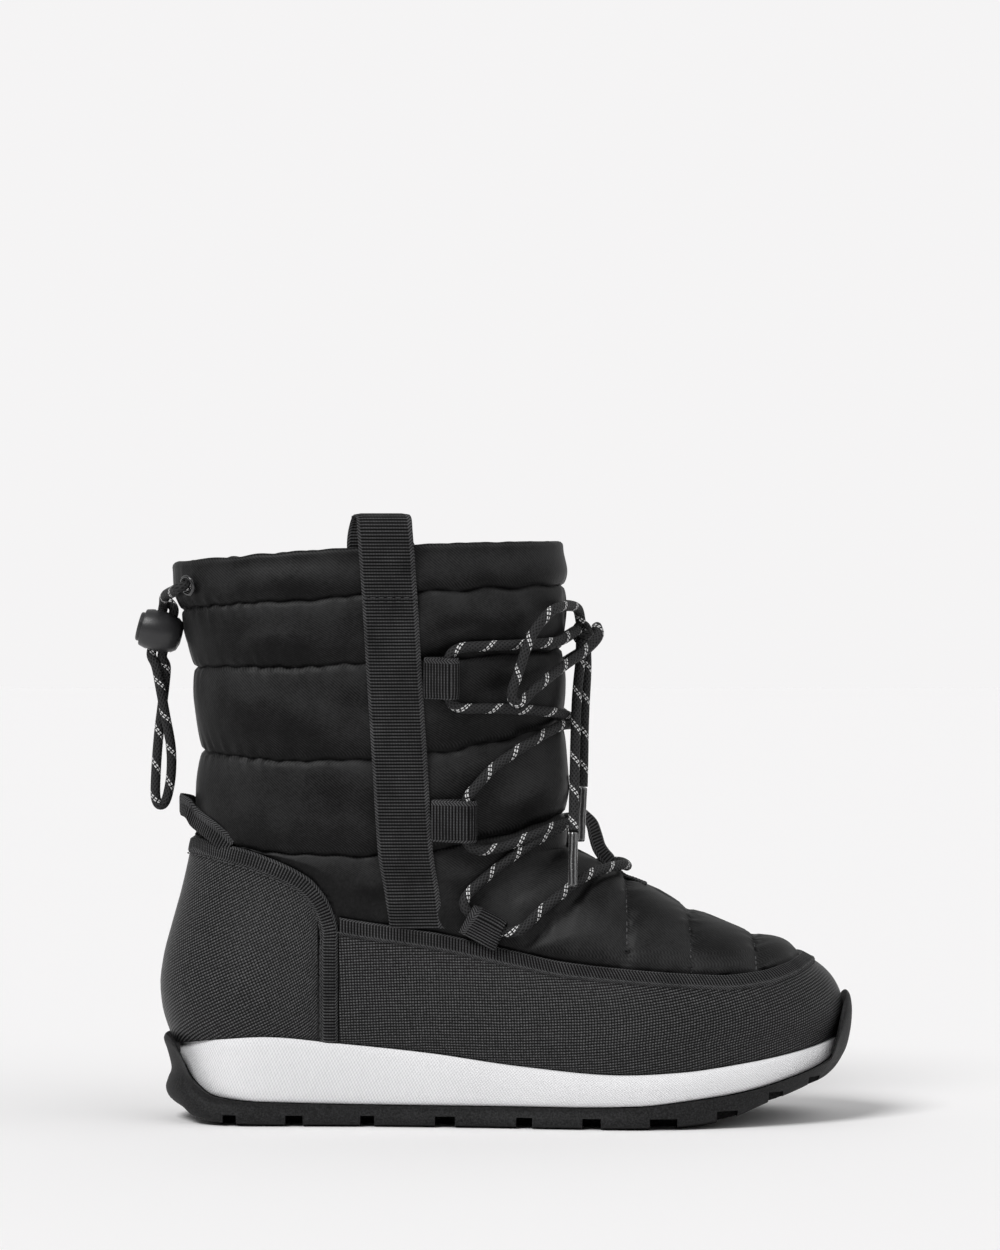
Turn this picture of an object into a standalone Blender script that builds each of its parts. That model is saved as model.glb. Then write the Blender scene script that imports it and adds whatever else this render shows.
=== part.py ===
"""Quilted winter boot for the right foot, toe towards +X and outer side towards -Y.

Every size is in millimetres and becomes metres when a mesh is made. The upper is one skin,
found by two numbers: u runs once round the boot from the heel centre, along the outer side to
the toe centre and back along the inner side, and level climbs from the sole edge to the rim.
"""

import math

import bmesh
import bpy
import numpy as np
from mathutils import Matrix, Vector

MM = 0.001
GAP = 0.3  # clearance between pieces that touch


def table(columns, *rows):
    """A short table, kept as one array for each named column."""
    return dict(zip(columns.split(), np.array(rows, float).T))


# Driving sizes of the foot
HEEL_X = -139.2
TOE_X = 136.0
TOE_WIDEST_Z = 45.0
TOE_EDGE_Z = 34.0
EDGE_TUCK = 2.5  # the upper draws in by this much down to the sole edge
WALL = 3.0
PUFF = 2.6  # height of the padding over the stitched lines
PUFF_ROUND = 11.0  # distance from a stitched line at which the padding is full
PUFF_CLEAR = 3.0  # the padding starts this far over the counter
PUFF_AHEAD = 9.0  # and this far in front of it
FOOT_POWER = 2.3  # roundness of the vamp over its width
SHAFT_POWER = 2.3  # roundness of the shaft seen from above
ANKLE_BLEND = 9.0  # fillet between the foot and the shaft

# Plan of the foot at its widest: half width and centre line, by share of the length
PLAN = table(
    "share half axis lift",
    (0.00, 33.0, 0.0, 23.0),
    (0.13, 34.5, 0.0, 21.0),
    (0.30, 35.0, -0.5, 19.0),
    (0.46, 37.5, -2.0, 18.0),
    (0.60, 42.5, -2.5, 17.0),
    (0.72, 46.5, -1.5, 16.0),
    (0.84, 46.0, 2.0, 14.0),
    (1.00, 42.0, 6.5, 11.0),
)
HEEL_ROUND_SHARE = 0.135
TOE_ROUND_SHARE = 0.72
HEEL_POWER = 2.2
TOE_POWER = 2.4

# Top line of the midsole, where the upper ends
SOLE_EDGE = table(
    "x z",
    (-136.0, 30.6),
    (-116.0, 34.6),
    (-97.0, 36.0),
    (-68.0, 33.6),
    (-30.0, 29.8),
    (5.5, 25.0),
    (45.0, 22.0),
    (69.0, 23.0),
    (93.0, 25.8),
    (117.0, 29.6),
    (136.0, 34.0),
)

# Centre line of the instep and toe, under the padding
RIDGE = table(
    "x z",
    (-150.0, 128.0),
    (-60.0, 124.0),
    (-10.0, 117.0),
    (10.0, 112.0),
    (27.0, 106.5),
    (41.0, 100.5),
    (58.0, 91.0),
    (72.0, 84.0),
    (98.0, 73.5),
    (110.0, 70.0),
    (118.0, 66.0),
    (126.0, 61.3),
    (131.0, 56.8),
    (134.2, 51.5),
    (136.0, 45.0),
)

# Back line of the heel, under the counter
HEEL_BACK = table(
    "z x",
    (28.0, -133.0),
    (34.5, -135.0),
    (46.0, -138.4),
    (55.0, -139.2),
    (65.0, -138.0),
    (78.0, -134.7),
    (92.0, -130.8),
    (104.0, -128.0),
    (114.0, -126.0),
    (124.0, -120.0),
    (134.0, -105.0),
)

# Level sections of the shaft, under the padding
SHAFT = table(
    "z back front half",
    (40.0, -108.0, 12.0, 28.0),
    (80.0, -116.0, 20.0, 34.0),
    (112.0, -122.0, 22.0, 38.5),
    (131.0, -122.9, 22.4, 40.5),
    (152.0, -122.5, 21.5, 42.0),
    (172.0, -124.2, 20.7, 43.5),
    (187.0, -126.0, 21.0, 44.5),
    (207.0, -131.0, 21.5, 46.0),
    (223.0, -135.0, 22.5, 47.0),
    (234.0, -136.0, 22.5, 47.5),
)

# Height of each stitched ring at the back, under the strap and at the front
RING_X = (-125.0, -45.0, 25.0)
RINGS = table(
    "back middle front",
    (115.5, 109.3, 124.8),
    (149.8, 148.0, 161.0),
    (183.4, 186.0, 191.0),
    (207.3, 213.4, 216.5),
    (224.8, 230.8, 232.4),
)
FIRST_LEVEL = -1.0
RIM_LEVEL = float(len(RINGS["back"]))
RIM_ROUND = 1.8  # the folded rim stands this much over its last ring

VAMP_SEAMS = (48.0, 73.5, 100.0)

# Upper edge of the counter and of the mudguard, outside their bindings. The mudguard's line goes on
# under the counter to the heel, as level 0 of the skin.
COUNTER_FRONT_X = -67.3
COUNTER_EDGE = table(
    "x z",
    (-140.0, 114.5),
    (-126.0, 114.2),
    (-105.6, 110.8),
    (-89.9, 105.5),
    (-78.4, 99.2),
    (-71.5, 91.0),
    (COUNTER_FRONT_X, 80.0),
)
MUDGUARD_EDGE = table(
    "x z",
    (-140.0, 93.0),
    (-100.0, 91.5),
    (-66.8, 83.9),
    (-29.3, 78.0),
    (5.4, 70.2),
    (20.9, 66.8),
    (44.4, 64.0),
    (72.8, 61.4),
    (87.0, 60.5),
    (100.5, 61.3),
    (111.5, 63.5),
    (119.7, 65.6),
    (136.0, 66.2),
)
PANEL_THICK = 1.2
BINDING_WIDE = 7.4
BINDING_THICK = 1.8

# Webbing
STRAP = table(
    "z x",
    (76.0, -35.2),
    (95.0, -38.0),
    (110.0, -40.4),
    (147.0, -42.7),
    (183.0, -44.9),
    (214.0, -46.7),
    (240.0, -48.6),
)
STRAP_WIDE = 21.6
STRAP_THICK = 1.3
KEEPER_WIDE = 16.4
KEEPER_THICK = 1.1
LACE_RADIUS = 2.05
CORD_SIDES = 2  # bevel resolution of every cord

LATERAL = -1
MEDIAL = 1
SIDE_NAMES = {LATERAL: "lateral", MEDIAL: "medial"}

# The ring of u is divided at the heel curve and at the front curve
HEEL_CURVE_X = -95.0
FRONT_CURVE_X = -5.0
HEEL_CURVE_SHARE = 0.28
FRONT_CURVE_SHARE = 0.52


def smooth(xs, ys, at):
    """A smooth curve through a table's points that never overshoots them."""
    at = np.clip(at, xs[0], xs[-1])
    step = np.diff(xs)
    rise = np.diff(ys) / step
    slope = np.concatenate([rise[:1], np.zeros(len(xs) - 2), rise[-1:]])
    same_way = rise[:-1] * rise[1:] > 0
    mean = 2 * rise[:-1] * rise[1:] / np.where(same_way, rise[:-1] + rise[1:], 1)
    slope[1:-1] = np.where(same_way, mean, 0)
    i = np.clip(np.searchsorted(xs, at) - 1, 0, len(xs) - 2)
    t = (at - xs[i]) / step[i]
    value = ys[i] * (1 + 2 * t) * (1 - t) ** 2 + ys[i + 1] * t * t * (3 - 2 * t)
    return value + step[i] * t * (1 - t) * (slope[i] * (1 - t) - slope[i + 1] * t)


def read(rows, column, by, at):
    return smooth(rows[by], rows[column], at)


def round_off(share, power):
    """A rounded end: 1 at share 0, 0 at share 1 and negative past it."""
    left = 1 - np.abs(share) ** power
    return np.sign(left) * np.abs(left) ** (1 / power)


def soft_max(a, b, blend):
    near = np.clip(blend - np.abs(a - b), 0, None) / blend
    return np.maximum(a, b) + near * near * blend / 4


def ease(start, end, at):
    t = np.clip((at - start) / (end - start), 0, 1)
    return t * t * (3 - 2 * t)


def edge_height(x):
    return read(SOLE_EDGE, "z", "x", x)


def foot_front(z):
    xs = np.linspace(RIDGE["x"][0], RIDGE["x"][-1], 600)
    over = np.interp(-z, -read(RIDGE, "z", "x", xs), xs)
    below = np.clip((TOE_WIDEST_Z - z) / (TOE_WIDEST_Z - TOE_EDGE_Z), 0, 1)
    return np.where(z > TOE_WIDEST_Z, over, TOE_X - EDGE_TUCK * below**2)


def ring_ends(z):
    back = np.minimum(read(HEEL_BACK, "x", "z", z), read(SHAFT, "back", "z", z))
    front = np.maximum(foot_front(z), read(SHAFT, "front", "z", z))
    return back, front


def plan_half(share):
    heel = round_off(np.clip(1 - share / HEEL_ROUND_SHARE, 0, None), HEEL_POWER)
    toe = round_off(np.clip((share - TOE_ROUND_SHARE) / (1 - TOE_ROUND_SHARE), 0, None), TOE_POWER)
    return read(PLAN, "half", "share", share) * heel * toe


def side_extent(x, z, side):
    """How far the skin reaches from the middle plane, at a place on the outer or inner side."""
    back = read(HEEL_BACK, "x", "z", z)
    below_toe = np.clip((TOE_WIDEST_Z - z) / (TOE_WIDEST_Z - TOE_EDGE_Z), 0, 1)
    share = (x - back) / (TOE_X - EDGE_TUCK * below_toe**2 - back)
    edge = edge_height(x)
    widest = edge + read(PLAN, "lift", "share", share)
    climb = (z - widest) / (read(RIDGE, "z", "x", x) - widest + 0.01)
    dome = round_off(np.clip(climb, 0, None), FOOT_POWER)
    half = plan_half(share)
    tuck = EDGE_TUCK * np.clip((widest - z) / (widest - edge), 0, 1.2) ** 2 * half / (half + EDGE_TUCK)
    foot = np.minimum(half, half * dome) - tuck + side * read(PLAN, "axis", "share", share)
    shaft_back = read(SHAFT, "back", "z", z)
    shaft_front = read(SHAFT, "front", "z", z)
    along = (2 * x - shaft_back - shaft_front) / (shaft_front - shaft_back)
    shaft = read(SHAFT, "half", "z", z) * round_off(along, SHAFT_POWER)
    return soft_max(foot, shaft, ANKLE_BLEND)


def ring_height(level, x):
    """Height of a level at x: -1 the sole edge, 0 the mudguard's line, 1 and more the stitched rings."""
    place = np.clip(level, 1, RIM_LEVEL)
    numbers = np.arange(1, RIM_LEVEL + 1)
    back, middle, front = (np.interp(place, numbers, RINGS[name]) for name in ("back", "middle", "front"))
    x0, x1, x2 = RING_X
    at = np.clip(x, HEEL_X, x2)
    z = back * (at - x1) * (at - x2) / ((x0 - x1) * (x0 - x2))
    z = z + middle * (at - x0) * (at - x2) / ((x1 - x0) * (x1 - x2))
    z = z + front * (at - x0) * (at - x1) / ((x2 - x0) * (x2 - x1))
    line = read(MUDGUARD_EDGE, "z", "x", x)
    z = np.where(level < 1, line + np.clip(level, 0, 1) * (z - line), z)
    return z + np.clip(-level, 0, 1) * (edge_height(x) - z)


def ring_x(v, back, front):
    """Place along the boot at share v of the way from the heel centre to the front centre."""
    quarter = math.pi / 2
    heel = HEEL_CURVE_X - (HEEL_CURVE_X - back) * np.cos(quarter * np.clip(v / HEEL_CURVE_SHARE, 0, 1))
    middle = (v - HEEL_CURVE_SHARE) / (FRONT_CURVE_SHARE - HEEL_CURVE_SHARE)
    flat = HEEL_CURVE_X + (FRONT_CURVE_X - HEEL_CURVE_X) * middle
    ahead = np.clip((v - FRONT_CURVE_SHARE) / (1 - FRONT_CURVE_SHARE), 0, 1)
    nose = FRONT_CURVE_X + (front - FRONT_CURVE_X) * np.sin(quarter * ahead)
    return np.where(v < HEEL_CURVE_SHARE, heel, np.where(v < FRONT_CURVE_SHARE, flat, nose))


def skin(u, level):
    """Points of the bare skin, under the padding."""
    u = np.mod(u, 2.0)
    u, level = np.broadcast_arrays(u, level)
    side = np.where(u <= 1, LATERAL, MEDIAL)
    v = np.where(u <= 1, u, 2 - u)
    z = ring_height(level, FRONT_CURVE_X + 0 * v)
    for _ in range(8):
        x = ring_x(v, *ring_ends(z))
        z = ring_height(level, x)
    x = ring_x(v, *ring_ends(z))
    y = side * side_extent(x, z, side)
    centre = (side_extent(x, z, MEDIAL) - side_extent(x, z, LATERAL)) / 2
    at_end = (v < 1e-6) | (v > 1 - 1e-6)
    return np.stack([x, np.where(at_end, centre, y), z], axis=-1)


def skin_normal(u, level):
    step = 0.004
    around = skin(u + step, level) - skin(u - step, level)
    low = np.maximum(level - step, FIRST_LEVEL)
    high = np.minimum(level + step, RIM_LEVEL)
    across = np.cross(around, skin(u, high) - skin(u, low))
    return across / np.linalg.norm(across, axis=-1, keepdims=True)


def padding(points, level):
    """Height of the padding: full between the stitched lines, nothing on them."""
    x, z = points[..., 0], points[..., 2]
    under = np.floor(np.clip(level, 1, RIM_LEVEL - 1e-6))
    no_limit = 2 * PUFF_ROUND
    from_low = z - ring_height(under, x)
    from_high = np.where(under >= RIM_LEVEL - 1, no_limit, ring_height(under + 1, x) - z)
    shaft = np.minimum(from_low, from_high)
    from_first = np.where(x < RING_X[2] - 1, ring_height(1.0 + 0 * x, x) - z, no_limit)
    counter = read(COUNTER_EDGE, "z", "x", x - PUFF_AHEAD) + PUFF_CLEAR
    edge = np.where(x < COUNTER_FRONT_X + 2 * GAP, counter, read(MUDGUARD_EDGE, "z", "x", x))
    lying = 1 + ease(VAMP_SEAMS[0], VAMP_SEAMS[2], x)
    vamp = np.minimum(from_first, (z - edge) * lying)
    for seam in VAMP_SEAMS:
        vamp = np.minimum(vamp, np.abs(x - seam))
    away = np.clip(np.where(level >= 1, shaft, vamp), 0, PUFF_ROUND) / PUFF_ROUND
    return PUFF * np.sqrt(1 - (1 - away) ** 2)


def level_at(x, z):
    """The level of a place on the side, from its height."""
    levels = np.linspace(FIRST_LEVEL, RIM_LEVEL, 241)
    return np.interp(z, ring_height(levels, x + 0 * levels), levels)


def u_at(x, z, side):
    back, front = (float(end) for end in ring_ends(np.array(z)))
    x = min(max(x, back), front)
    if x < HEEL_CURVE_X:
        v = HEEL_CURVE_SHARE * math.acos((HEEL_CURVE_X - x) / (HEEL_CURVE_X - back)) * 2 / math.pi
    elif x < FRONT_CURVE_X:
        v = HEEL_CURVE_SHARE + (FRONT_CURVE_SHARE - HEEL_CURVE_SHARE) * (x - HEEL_CURVE_X) / (
            FRONT_CURVE_X - HEEL_CURVE_X
        )
    else:
        ahead = math.asin((x - FRONT_CURVE_X) / (front - FRONT_CURVE_X)) * 2 / math.pi
        v = FRONT_CURVE_SHARE + (1 - FRONT_CURVE_SHARE) * ahead
    return v if side == LATERAL else 2 - v


def on_skin(x, z, side, offset):
    """A point over the skin at a place on one side, and the skin's normal there."""
    level = level_at(x, z)
    u = u_at(x, z, side)
    normal = skin_normal(np.array(u), np.array(level))
    return skin(np.array(u), np.array(level)) + normal * offset, normal


def material(name, colour, roughness, metallic=0.0):
    made = bpy.data.materials.new(name)
    made.use_nodes = True
    shader = made.node_tree.nodes["Principled BSDF"]
    shader.inputs["Base Color"].default_value = (*colour, 1.0)
    shader.inputs["Roughness"].default_value = roughness
    shader.inputs["Metallic"].default_value = metallic
    made.diffuse_color = (*colour, 1.0)
    return made


def add_object(name, mesh, look, collection=None):
    made = bpy.data.objects.new(name, mesh)
    mesh.materials.clear()
    mesh.materials.append(look)
    (collection or boot).objects.link(made)
    return made


def cap_faces(row, centred):
    """Corners of the faces that close a loop, straight across from one side to the other."""
    count = len(row)
    start = 0 if centred else -1
    for i in range(count // 2):
        corners = (row[i], row[i + 1], row[start - i - 1], row[start - i])
        kept = [corner for number, corner in enumerate(corners) if corner not in corners[:number]]
        if len(kept) > 2:
            yield kept


def loft(name, loops, look, closed=False, centred=False):
    """A solid skinned through loops of points; open ends are closed across the loop."""
    loops = [np.asarray(loop, float) for loop in loops]
    count = len(loops[0])
    shape = bmesh.new()
    rows = [[shape.verts.new(point * MM) for point in loop] for loop in loops]
    pairs = list(zip(rows, rows[1:]))
    if closed:
        pairs.append((rows[-1], rows[0]))
    for near, far in pairs:
        for i in range(count):
            j = (i + 1) % count
            shape.faces.new((near[i], near[j], far[j], far[i]))
    if not closed:
        for row in (rows[0], rows[-1]):
            for corners in cap_faces(row, centred):
                shape.faces.new(corners)
    bmesh.ops.recalc_face_normals(shape, faces=shape.faces)
    bmesh.ops.triangulate(shape, faces=shape.faces, quad_method="SHORT_EDGE")
    if shape.calc_volume(signed=True) < 0:
        bmesh.ops.reverse_faces(shape, faces=shape.faces)
    mesh = bpy.data.meshes.new(name)
    shape.to_mesh(mesh)
    shape.free()
    mesh.shade_smooth()
    mesh.set_sharp_from_angle(angle=math.radians(35))
    return add_object(name, mesh, look)


SIDE_COLUMNS = (HEEL_CURVE_X, -81.0, COUNTER_FRONT_X, -61.0, -47.5, -34.0, -19.5)


def ring_shares(heel, nose):
    """Values of u once round the boot, with a number of steps round the heel and to the toe."""
    along = (np.array(SIDE_COLUMNS) - HEEL_CURVE_X) / (FRONT_CURVE_X - HEEL_CURVE_X)
    shares = np.concatenate(
        [
            np.linspace(0, HEEL_CURVE_SHARE, heel, endpoint=False),
            HEEL_CURVE_SHARE + (FRONT_CURVE_SHARE - HEEL_CURVE_SHARE) * along,
            np.linspace(FRONT_CURVE_SHARE, 1, nose + 1),
        ]
    )
    return np.concatenate([shares, 2 - shares[-2:0:-1]])


UPPER_STEPS = (7, 11)  # columns of the skin round the heel and to the toe
FOOT_ROWS = (FIRST_LEVEL, -0.8, -0.6, -0.4, -0.2, 0.0)
RIDGE_ROWS = (110, 100, 87, 73.5, 61, 48, 36)  # places on the instep with a row
CHANNEL_ROWS = np.array([0.12, 0.5, 0.88, 1.0])
COLLAR_ROWS = np.array([0.14, 0.5, 1.0])
RIM_SHAPE = table("out up", (0.5, 1.0), (-0.5, 1.0))  # shares of the wall and of the rim's height
LINING_ROWS = (RIM_LEVEL, 4.2, 3.2, 2.2, 1.4, 0.8, 0.3, -0.3, FIRST_LEVEL)


def build_upper():
    """One hollow wall: padded outside, folded over at the rim, smooth inside."""
    around = ring_shares(*UPPER_STEPS)
    line = read(MUDGUARD_EDGE, "z", "x", np.array(RIDGE_ROWS))
    instep = (read(RIDGE, "z", "x", np.array(RIDGE_ROWS)) - line) / (RINGS["front"][0] - line)
    outside = [*FOOT_ROWS, *instep, 0.85, 1.0]
    for ring in range(1, int(RIM_LEVEL) - 1):
        outside += list(ring + CHANNEL_ROWS)
    outside += list(RIM_LEVEL - 1 + COLLAR_ROWS)
    loops = []
    for level in outside:
        level = np.full(len(around), level)
        points = skin(around, level)
        puffed = padding(points, level)[:, None]
        loops.append(points + skin_normal(around, level) * puffed)
    rim = np.full(len(around), RIM_LEVEL)
    rim_points = skin(around, rim)
    rim_normal = skin_normal(around, rim)
    for out, up in zip(RIM_SHAPE["out"], RIM_SHAPE["up"]):
        loops.append(rim_points + rim_normal * out * WALL + np.array([0, 0, up * RIM_ROUND]))
    for level in LINING_ROWS:
        level = np.full(len(around), level)
        normal = skin_normal(around, level)
        if level[0] == FIRST_LEVEL:
            normal[:, 2] = 0
            normal /= np.linalg.norm(normal, axis=1, keepdims=True)
        points = skin(around, level) - normal * WALL
        points[:, 2] = np.maximum(points[:, 2], edge_height(points[:, 0]))
        loops.append(points)
    return loft("upper", loops, QUILT, closed=True)


# Sole

MIDSOLE_UNDER = table(
    "x z",
    (-136.0, 30.2),
    (-131.0, 24.9),
    (-126.0, 17.7),
    (-117.0, 11.8),
    (-99.0, 10.0),
    (-30.0, 8.9),
    (26.0, 8.9),
    (51.0, 9.5),
    (74.0, 11.9),
    (93.5, 14.6),
    (112.6, 19.2),
    (130.0, 25.4),
    (137.0, 33.4),
)
TREAD = table(
    "x z",
    (-139.0, 6.0),
    (-126.0, 0.7),
    (-118.0, 0.0),
    (58.0, 0.0),
    (72.0, 0.5),
    (85.7, 2.2),
    (106.0, 8.9),
    (126.0, 15.0),
    (141.0, 22.0),
)
SOLE_GAP = 0.65  # clearance between the ruled faces of upper, midsole and outsole
MIDSOLE_BACK = -132.6
MIDSOLE_FRONT = 134.0
MIDSOLE_END_DRAW = 6.0  # its ends lie inside the outsole's lips
END_SHARE = 0.09
BALL_HALF = float(PLAN["half"].max())
HEEL_LIP_FROM = -126.0
TOE_LIP_FROM = 127.0


def plan_ring(around, back, front, outset, end_draw=0.0):
    """x and y of the sole's outline, wider than the foot by outset and drawn in at both ends."""
    side = np.where(around <= 1, LATERAL, MEDIAL)
    v = np.where(around <= 1, around, 2 - around)
    x = ring_x(v, back, front)
    share = (x - back) / (front - back)
    at_end = 1 - ease(0, END_SHARE, share) + ease(1 - END_SHARE, 1, share)
    half = plan_half(share) * (1 + (outset - end_draw * at_end) / BALL_HALF)
    return x, side * half + read(PLAN, "axis", "share", share)


def build_midsole():
    around = ring_shares(9, 12)
    loops = []
    for share, outset in ((0.0, 1.0), (0.12, 2.0), (0.55, 2.3), (0.9, 1.3), (1.0, 0.6)):
        x, y = plan_ring(around, MIDSOLE_BACK, MIDSOLE_FRONT, outset, MIDSOLE_END_DRAW)
        under = read(MIDSOLE_UNDER, "z", "x", x)
        top = edge_height(x) - SOLE_GAP
        loops.append(np.stack([x, y, under + share * (top - under)], axis=1))
    return loft("midsole", loops, FOAM, centred=True)


# Rings of the outsole: both ends, the height there, the outset, how much wider its ends are, and the
# share of the side's height. The tread edge and the floor under the midsole have no lip.
OUTSOLE_RINGS = table(
    "back back_z front front_z outset end_wide side_share lip",
    (-123.0, 0.3, 118.0, 12.4, -3.0, 0.0, 0.0, 0),
    (-138.3, 12.3, 131.5, 18.5, 1.8, 0.0, 0.4, 1),
    (-135.9, 19.4, 139.0, 29.0, 1.4, 0.6, 0.8, 1),
    (-139.3, 32.8, 141.0, 42.0, 1.6, 2.4, 1.0, 1),
    (-139.2, 34.0, 140.2, 50.6, 1.2, 2.4, 1.0, 1),
    (-138.4, 34.0, 138.5, 50.6, 0.9, 1.6, 1.0, 1),
    (-138.2, 31.8, 139.1, 43.0, 0.8, 1.4, 1.0, 1),
    (-137.1, 29.6, 138.2, 32.6, 0.2, 0.0, 1.0, 0),
)
# Side notches between the lugs: place and width
LUG_NOTCHES = table(
    "x wide",
    (-111.0, 5.4),
    (-85.0, 7.0),
    (-55.7, 5.6),
    (-24.6, 8.0),
    (7.0, 6.4),
    (33.8, 7.4),
    (62.4, 11.0),
    (88.0, 8.4),
    (107.8, 6.0),
    (124.0, 5.0),
)
NOTCH_DEEP = 4.6
NOTCH_REACH = 15.0  # from the sole's edge inwards
CUTTER_TALL = 20.0
CUTTER_OVER = 12.0  # the cutters stand this far out of the side
CHANNEL_WIDE = 7.0
CHANNEL_DEEP = 3.2
CHANNEL_Y = -1.0
CHANNEL_ENDS = (-100.0, 84.0)


def build_outsole():
    around = ring_shares(9, 13)
    loops = []
    rings = [dict(zip(OUTSOLE_RINGS, row)) for row in zip(*OUTSOLE_RINGS.values())]
    for ring in rings:
        x, y = plan_ring(around, ring["back"], ring["front"], ring["outset"], -ring["end_wide"])
        under = read(TREAD, "z", "x", x)
        top = read(MIDSOLE_UNDER, "z", "x", x) - SOLE_GAP
        z = under + ring["side_share"] * (top - under)
        heel = ring["lip"] * ease(HEEL_LIP_FROM, ring["back"], x)
        toe = ring["lip"] * ease(TOE_LIP_FROM, ring["front"], x)
        z = z + heel * (ring["back_z"] - z) + toe * (ring["front_z"] - z)
        loops.append(np.stack([x, y, z], axis=1))
    sole = loft("outsole", loops, RUBBER, centred=True)
    for number, (x, wide) in enumerate(zip(LUG_NOTCHES["x"], LUG_NOTCHES["wide"])):
        share = (x - HEEL_X) / (TOE_X - HEEL_X)
        half = float(plan_half(share))
        axis = float(read(PLAN, "axis", "share", share))
        low = float(read(TREAD, "z", "x", x))
        for side, side_name in SIDE_NAMES.items():
            reach = NOTCH_REACH + CUTTER_OVER
            middle = (x, axis + side * (half + CUTTER_OVER - reach / 2), low + NOTCH_DEEP - CUTTER_TALL / 2)
            cut(sole, box_cutter(f"notch_{side_name}_{number}", middle, (wide, reach, CUTTER_TALL)))
    length = CHANNEL_ENDS[1] - CHANNEL_ENDS[0]
    middle = (sum(CHANNEL_ENDS) / 2, CHANNEL_Y, CHANNEL_DEEP - CUTTER_TALL / 2)
    cut(sole, box_cutter("tread_channel", middle, (length, CHANNEL_WIDE, CUTTER_TALL)))
    return sole


def box_cutter(name, middle, size):
    mesh = bpy.data.meshes.new(name)
    shape = bmesh.new()
    place = Matrix.Translation(Vector(middle) * MM) @ Matrix.Diagonal((*(Vector(size) * MM), 1.0))
    bmesh.ops.create_cube(shape, size=1.0, matrix=place)
    shape.to_mesh(mesh)
    shape.free()
    cutter = add_object(name, mesh, RUBBER, cutters)
    cutter.hide_render = True
    cutter.display_type = "WIRE"
    return cutter


def cut(target, cutter, operation="DIFFERENCE"):
    step = target.modifiers.new(cutter.name, "BOOLEAN")
    step.operation = operation
    step.object = cutter


INSOLE_OUTSET = -(EDGE_TUCK + WALL + 3.0)
INSOLE_THICK = 4.0
INSOLE_END = 10.0  # distance of its ends from those of the foot
INSOLE_LIFT = 0.1  # over the sole edge


def build_insole():
    around = ring_shares(5, 8)
    loops = []
    for share, inset in ((0.0, 0.6), (0.3, 0.0), (1.0, 0.4)):
        x, y = plan_ring(around, HEEL_X + INSOLE_END + inset, TOE_X - INSOLE_END - inset, INSOLE_OUTSET - inset)
        z = edge_height(x) + INSOLE_LIFT + share * INSOLE_THICK
        loops.append(np.stack([x, y, z], axis=1))
    return loft("insole", loops, FELT, centred=True)


# Coated panels and their bindings

PANEL_FOOT = -0.96  # the panels end just over the midsole
PANEL_GAP = 0.7  # clearance of the panels over the skin's flat facets
TAPE_GAP = 0.6  # clearance of the counter's tape, whose edges cross the skin's own rows


def down_the_skin(u, level, distance):
    """The level a distance below another, measured along the skin."""
    steps = 60
    levels = np.linspace(level, FIRST_LEVEL, steps)
    points = skin(np.full((steps, len(u)), u), levels)
    length = np.zeros((steps, len(u)))
    length[1:] = np.cumsum(np.linalg.norm(np.diff(points, axis=0), axis=2), axis=0)
    return np.array([np.interp(distance, length[:, i], levels[:, i]) for i in range(len(u))])


def level_for(u, height_at):
    """Level at u where the skin has the height that belongs to its place along the boot."""
    level = 0.5
    for _ in range(12):
        x = float(skin(np.array(u), np.array(level))[0])
        level = float(level_at(x, float(height_at(x))))
    return level


def sheet_loop(u, levels, gap, thick):
    """Section of a sheet that lies on the skin at one u: its outside, then its inside in reverse."""
    levels = np.asarray(levels, float)
    u = np.full(len(levels), u)
    points = skin(u, levels)
    normal = skin_normal(u, levels)
    outside = points + normal * (gap + thick)
    inside = points + normal * gap
    return np.concatenate([outside, inside[::-1]])


def build_mudguard():
    start = u_at(COUNTER_FRONT_X + 2 * GAP, COUNTER_CORNER, LATERAL)
    around = [u for u in ring_shares(*UPPER_STEPS) if start < u < 2 - start]
    around = np.array([start, *around, 2 - start])
    top = np.zeros(len(around))
    low = down_the_skin(around, top, BINDING_WIDE)
    under = down_the_skin(around, top, BINDING_WIDE + GAP)
    binding = [sheet_loop(u, (0.0, a / 2, a), PANEL_GAP, BINDING_THICK) for u, a in zip(around, low)]
    rows = (PANEL_FOOT, *FOOT_ROWS[1:-2])
    panel = []
    for u, a in zip(around, under):
        panel.append(sheet_loop(u, (*rows, (rows[-1] + a) / 2, a), PANEL_GAP, PANEL_THICK))
    loft("mudguard_binding", binding, TAPE)
    loft("mudguard", panel, COATED)


COUNTER_CORNER = COUNTER_EDGE["z"][-1]  # here the counter's front edge turns into its top edge
COUNTER_FOOT = 1.2  # the front edge starts this far over the sole edge
TAPE_FROM = -125.0  # from here the tape goes straight round the heel
TAPE_STEP = 7.0  # distance between two sections of the tape


def counter_height(x):
    return read(COUNTER_EDGE, "z", "x", x)


def counter_side():
    """Edge of the counter on one side, from the heel to the sole, and the direction into the panel."""
    edge = [(x, float(counter_height(x))) for x in np.arange(TAPE_FROM, COUNTER_FRONT_X, TAPE_STEP)]
    foot = float(edge_height(COUNTER_FRONT_X)) + COUNTER_FOOT
    edge += [(COUNTER_FRONT_X, z) for z in np.linspace(COUNTER_CORNER, foot, 6)]
    edge = np.array(edge)
    along = np.gradient(edge, axis=0)
    along /= np.linalg.norm(along, axis=1, keepdims=True)
    inward = np.stack([along[:, 1], -along[:, 0]], axis=1)
    inward[:2] = (0.0, -1.0)
    return edge, inward


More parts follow.
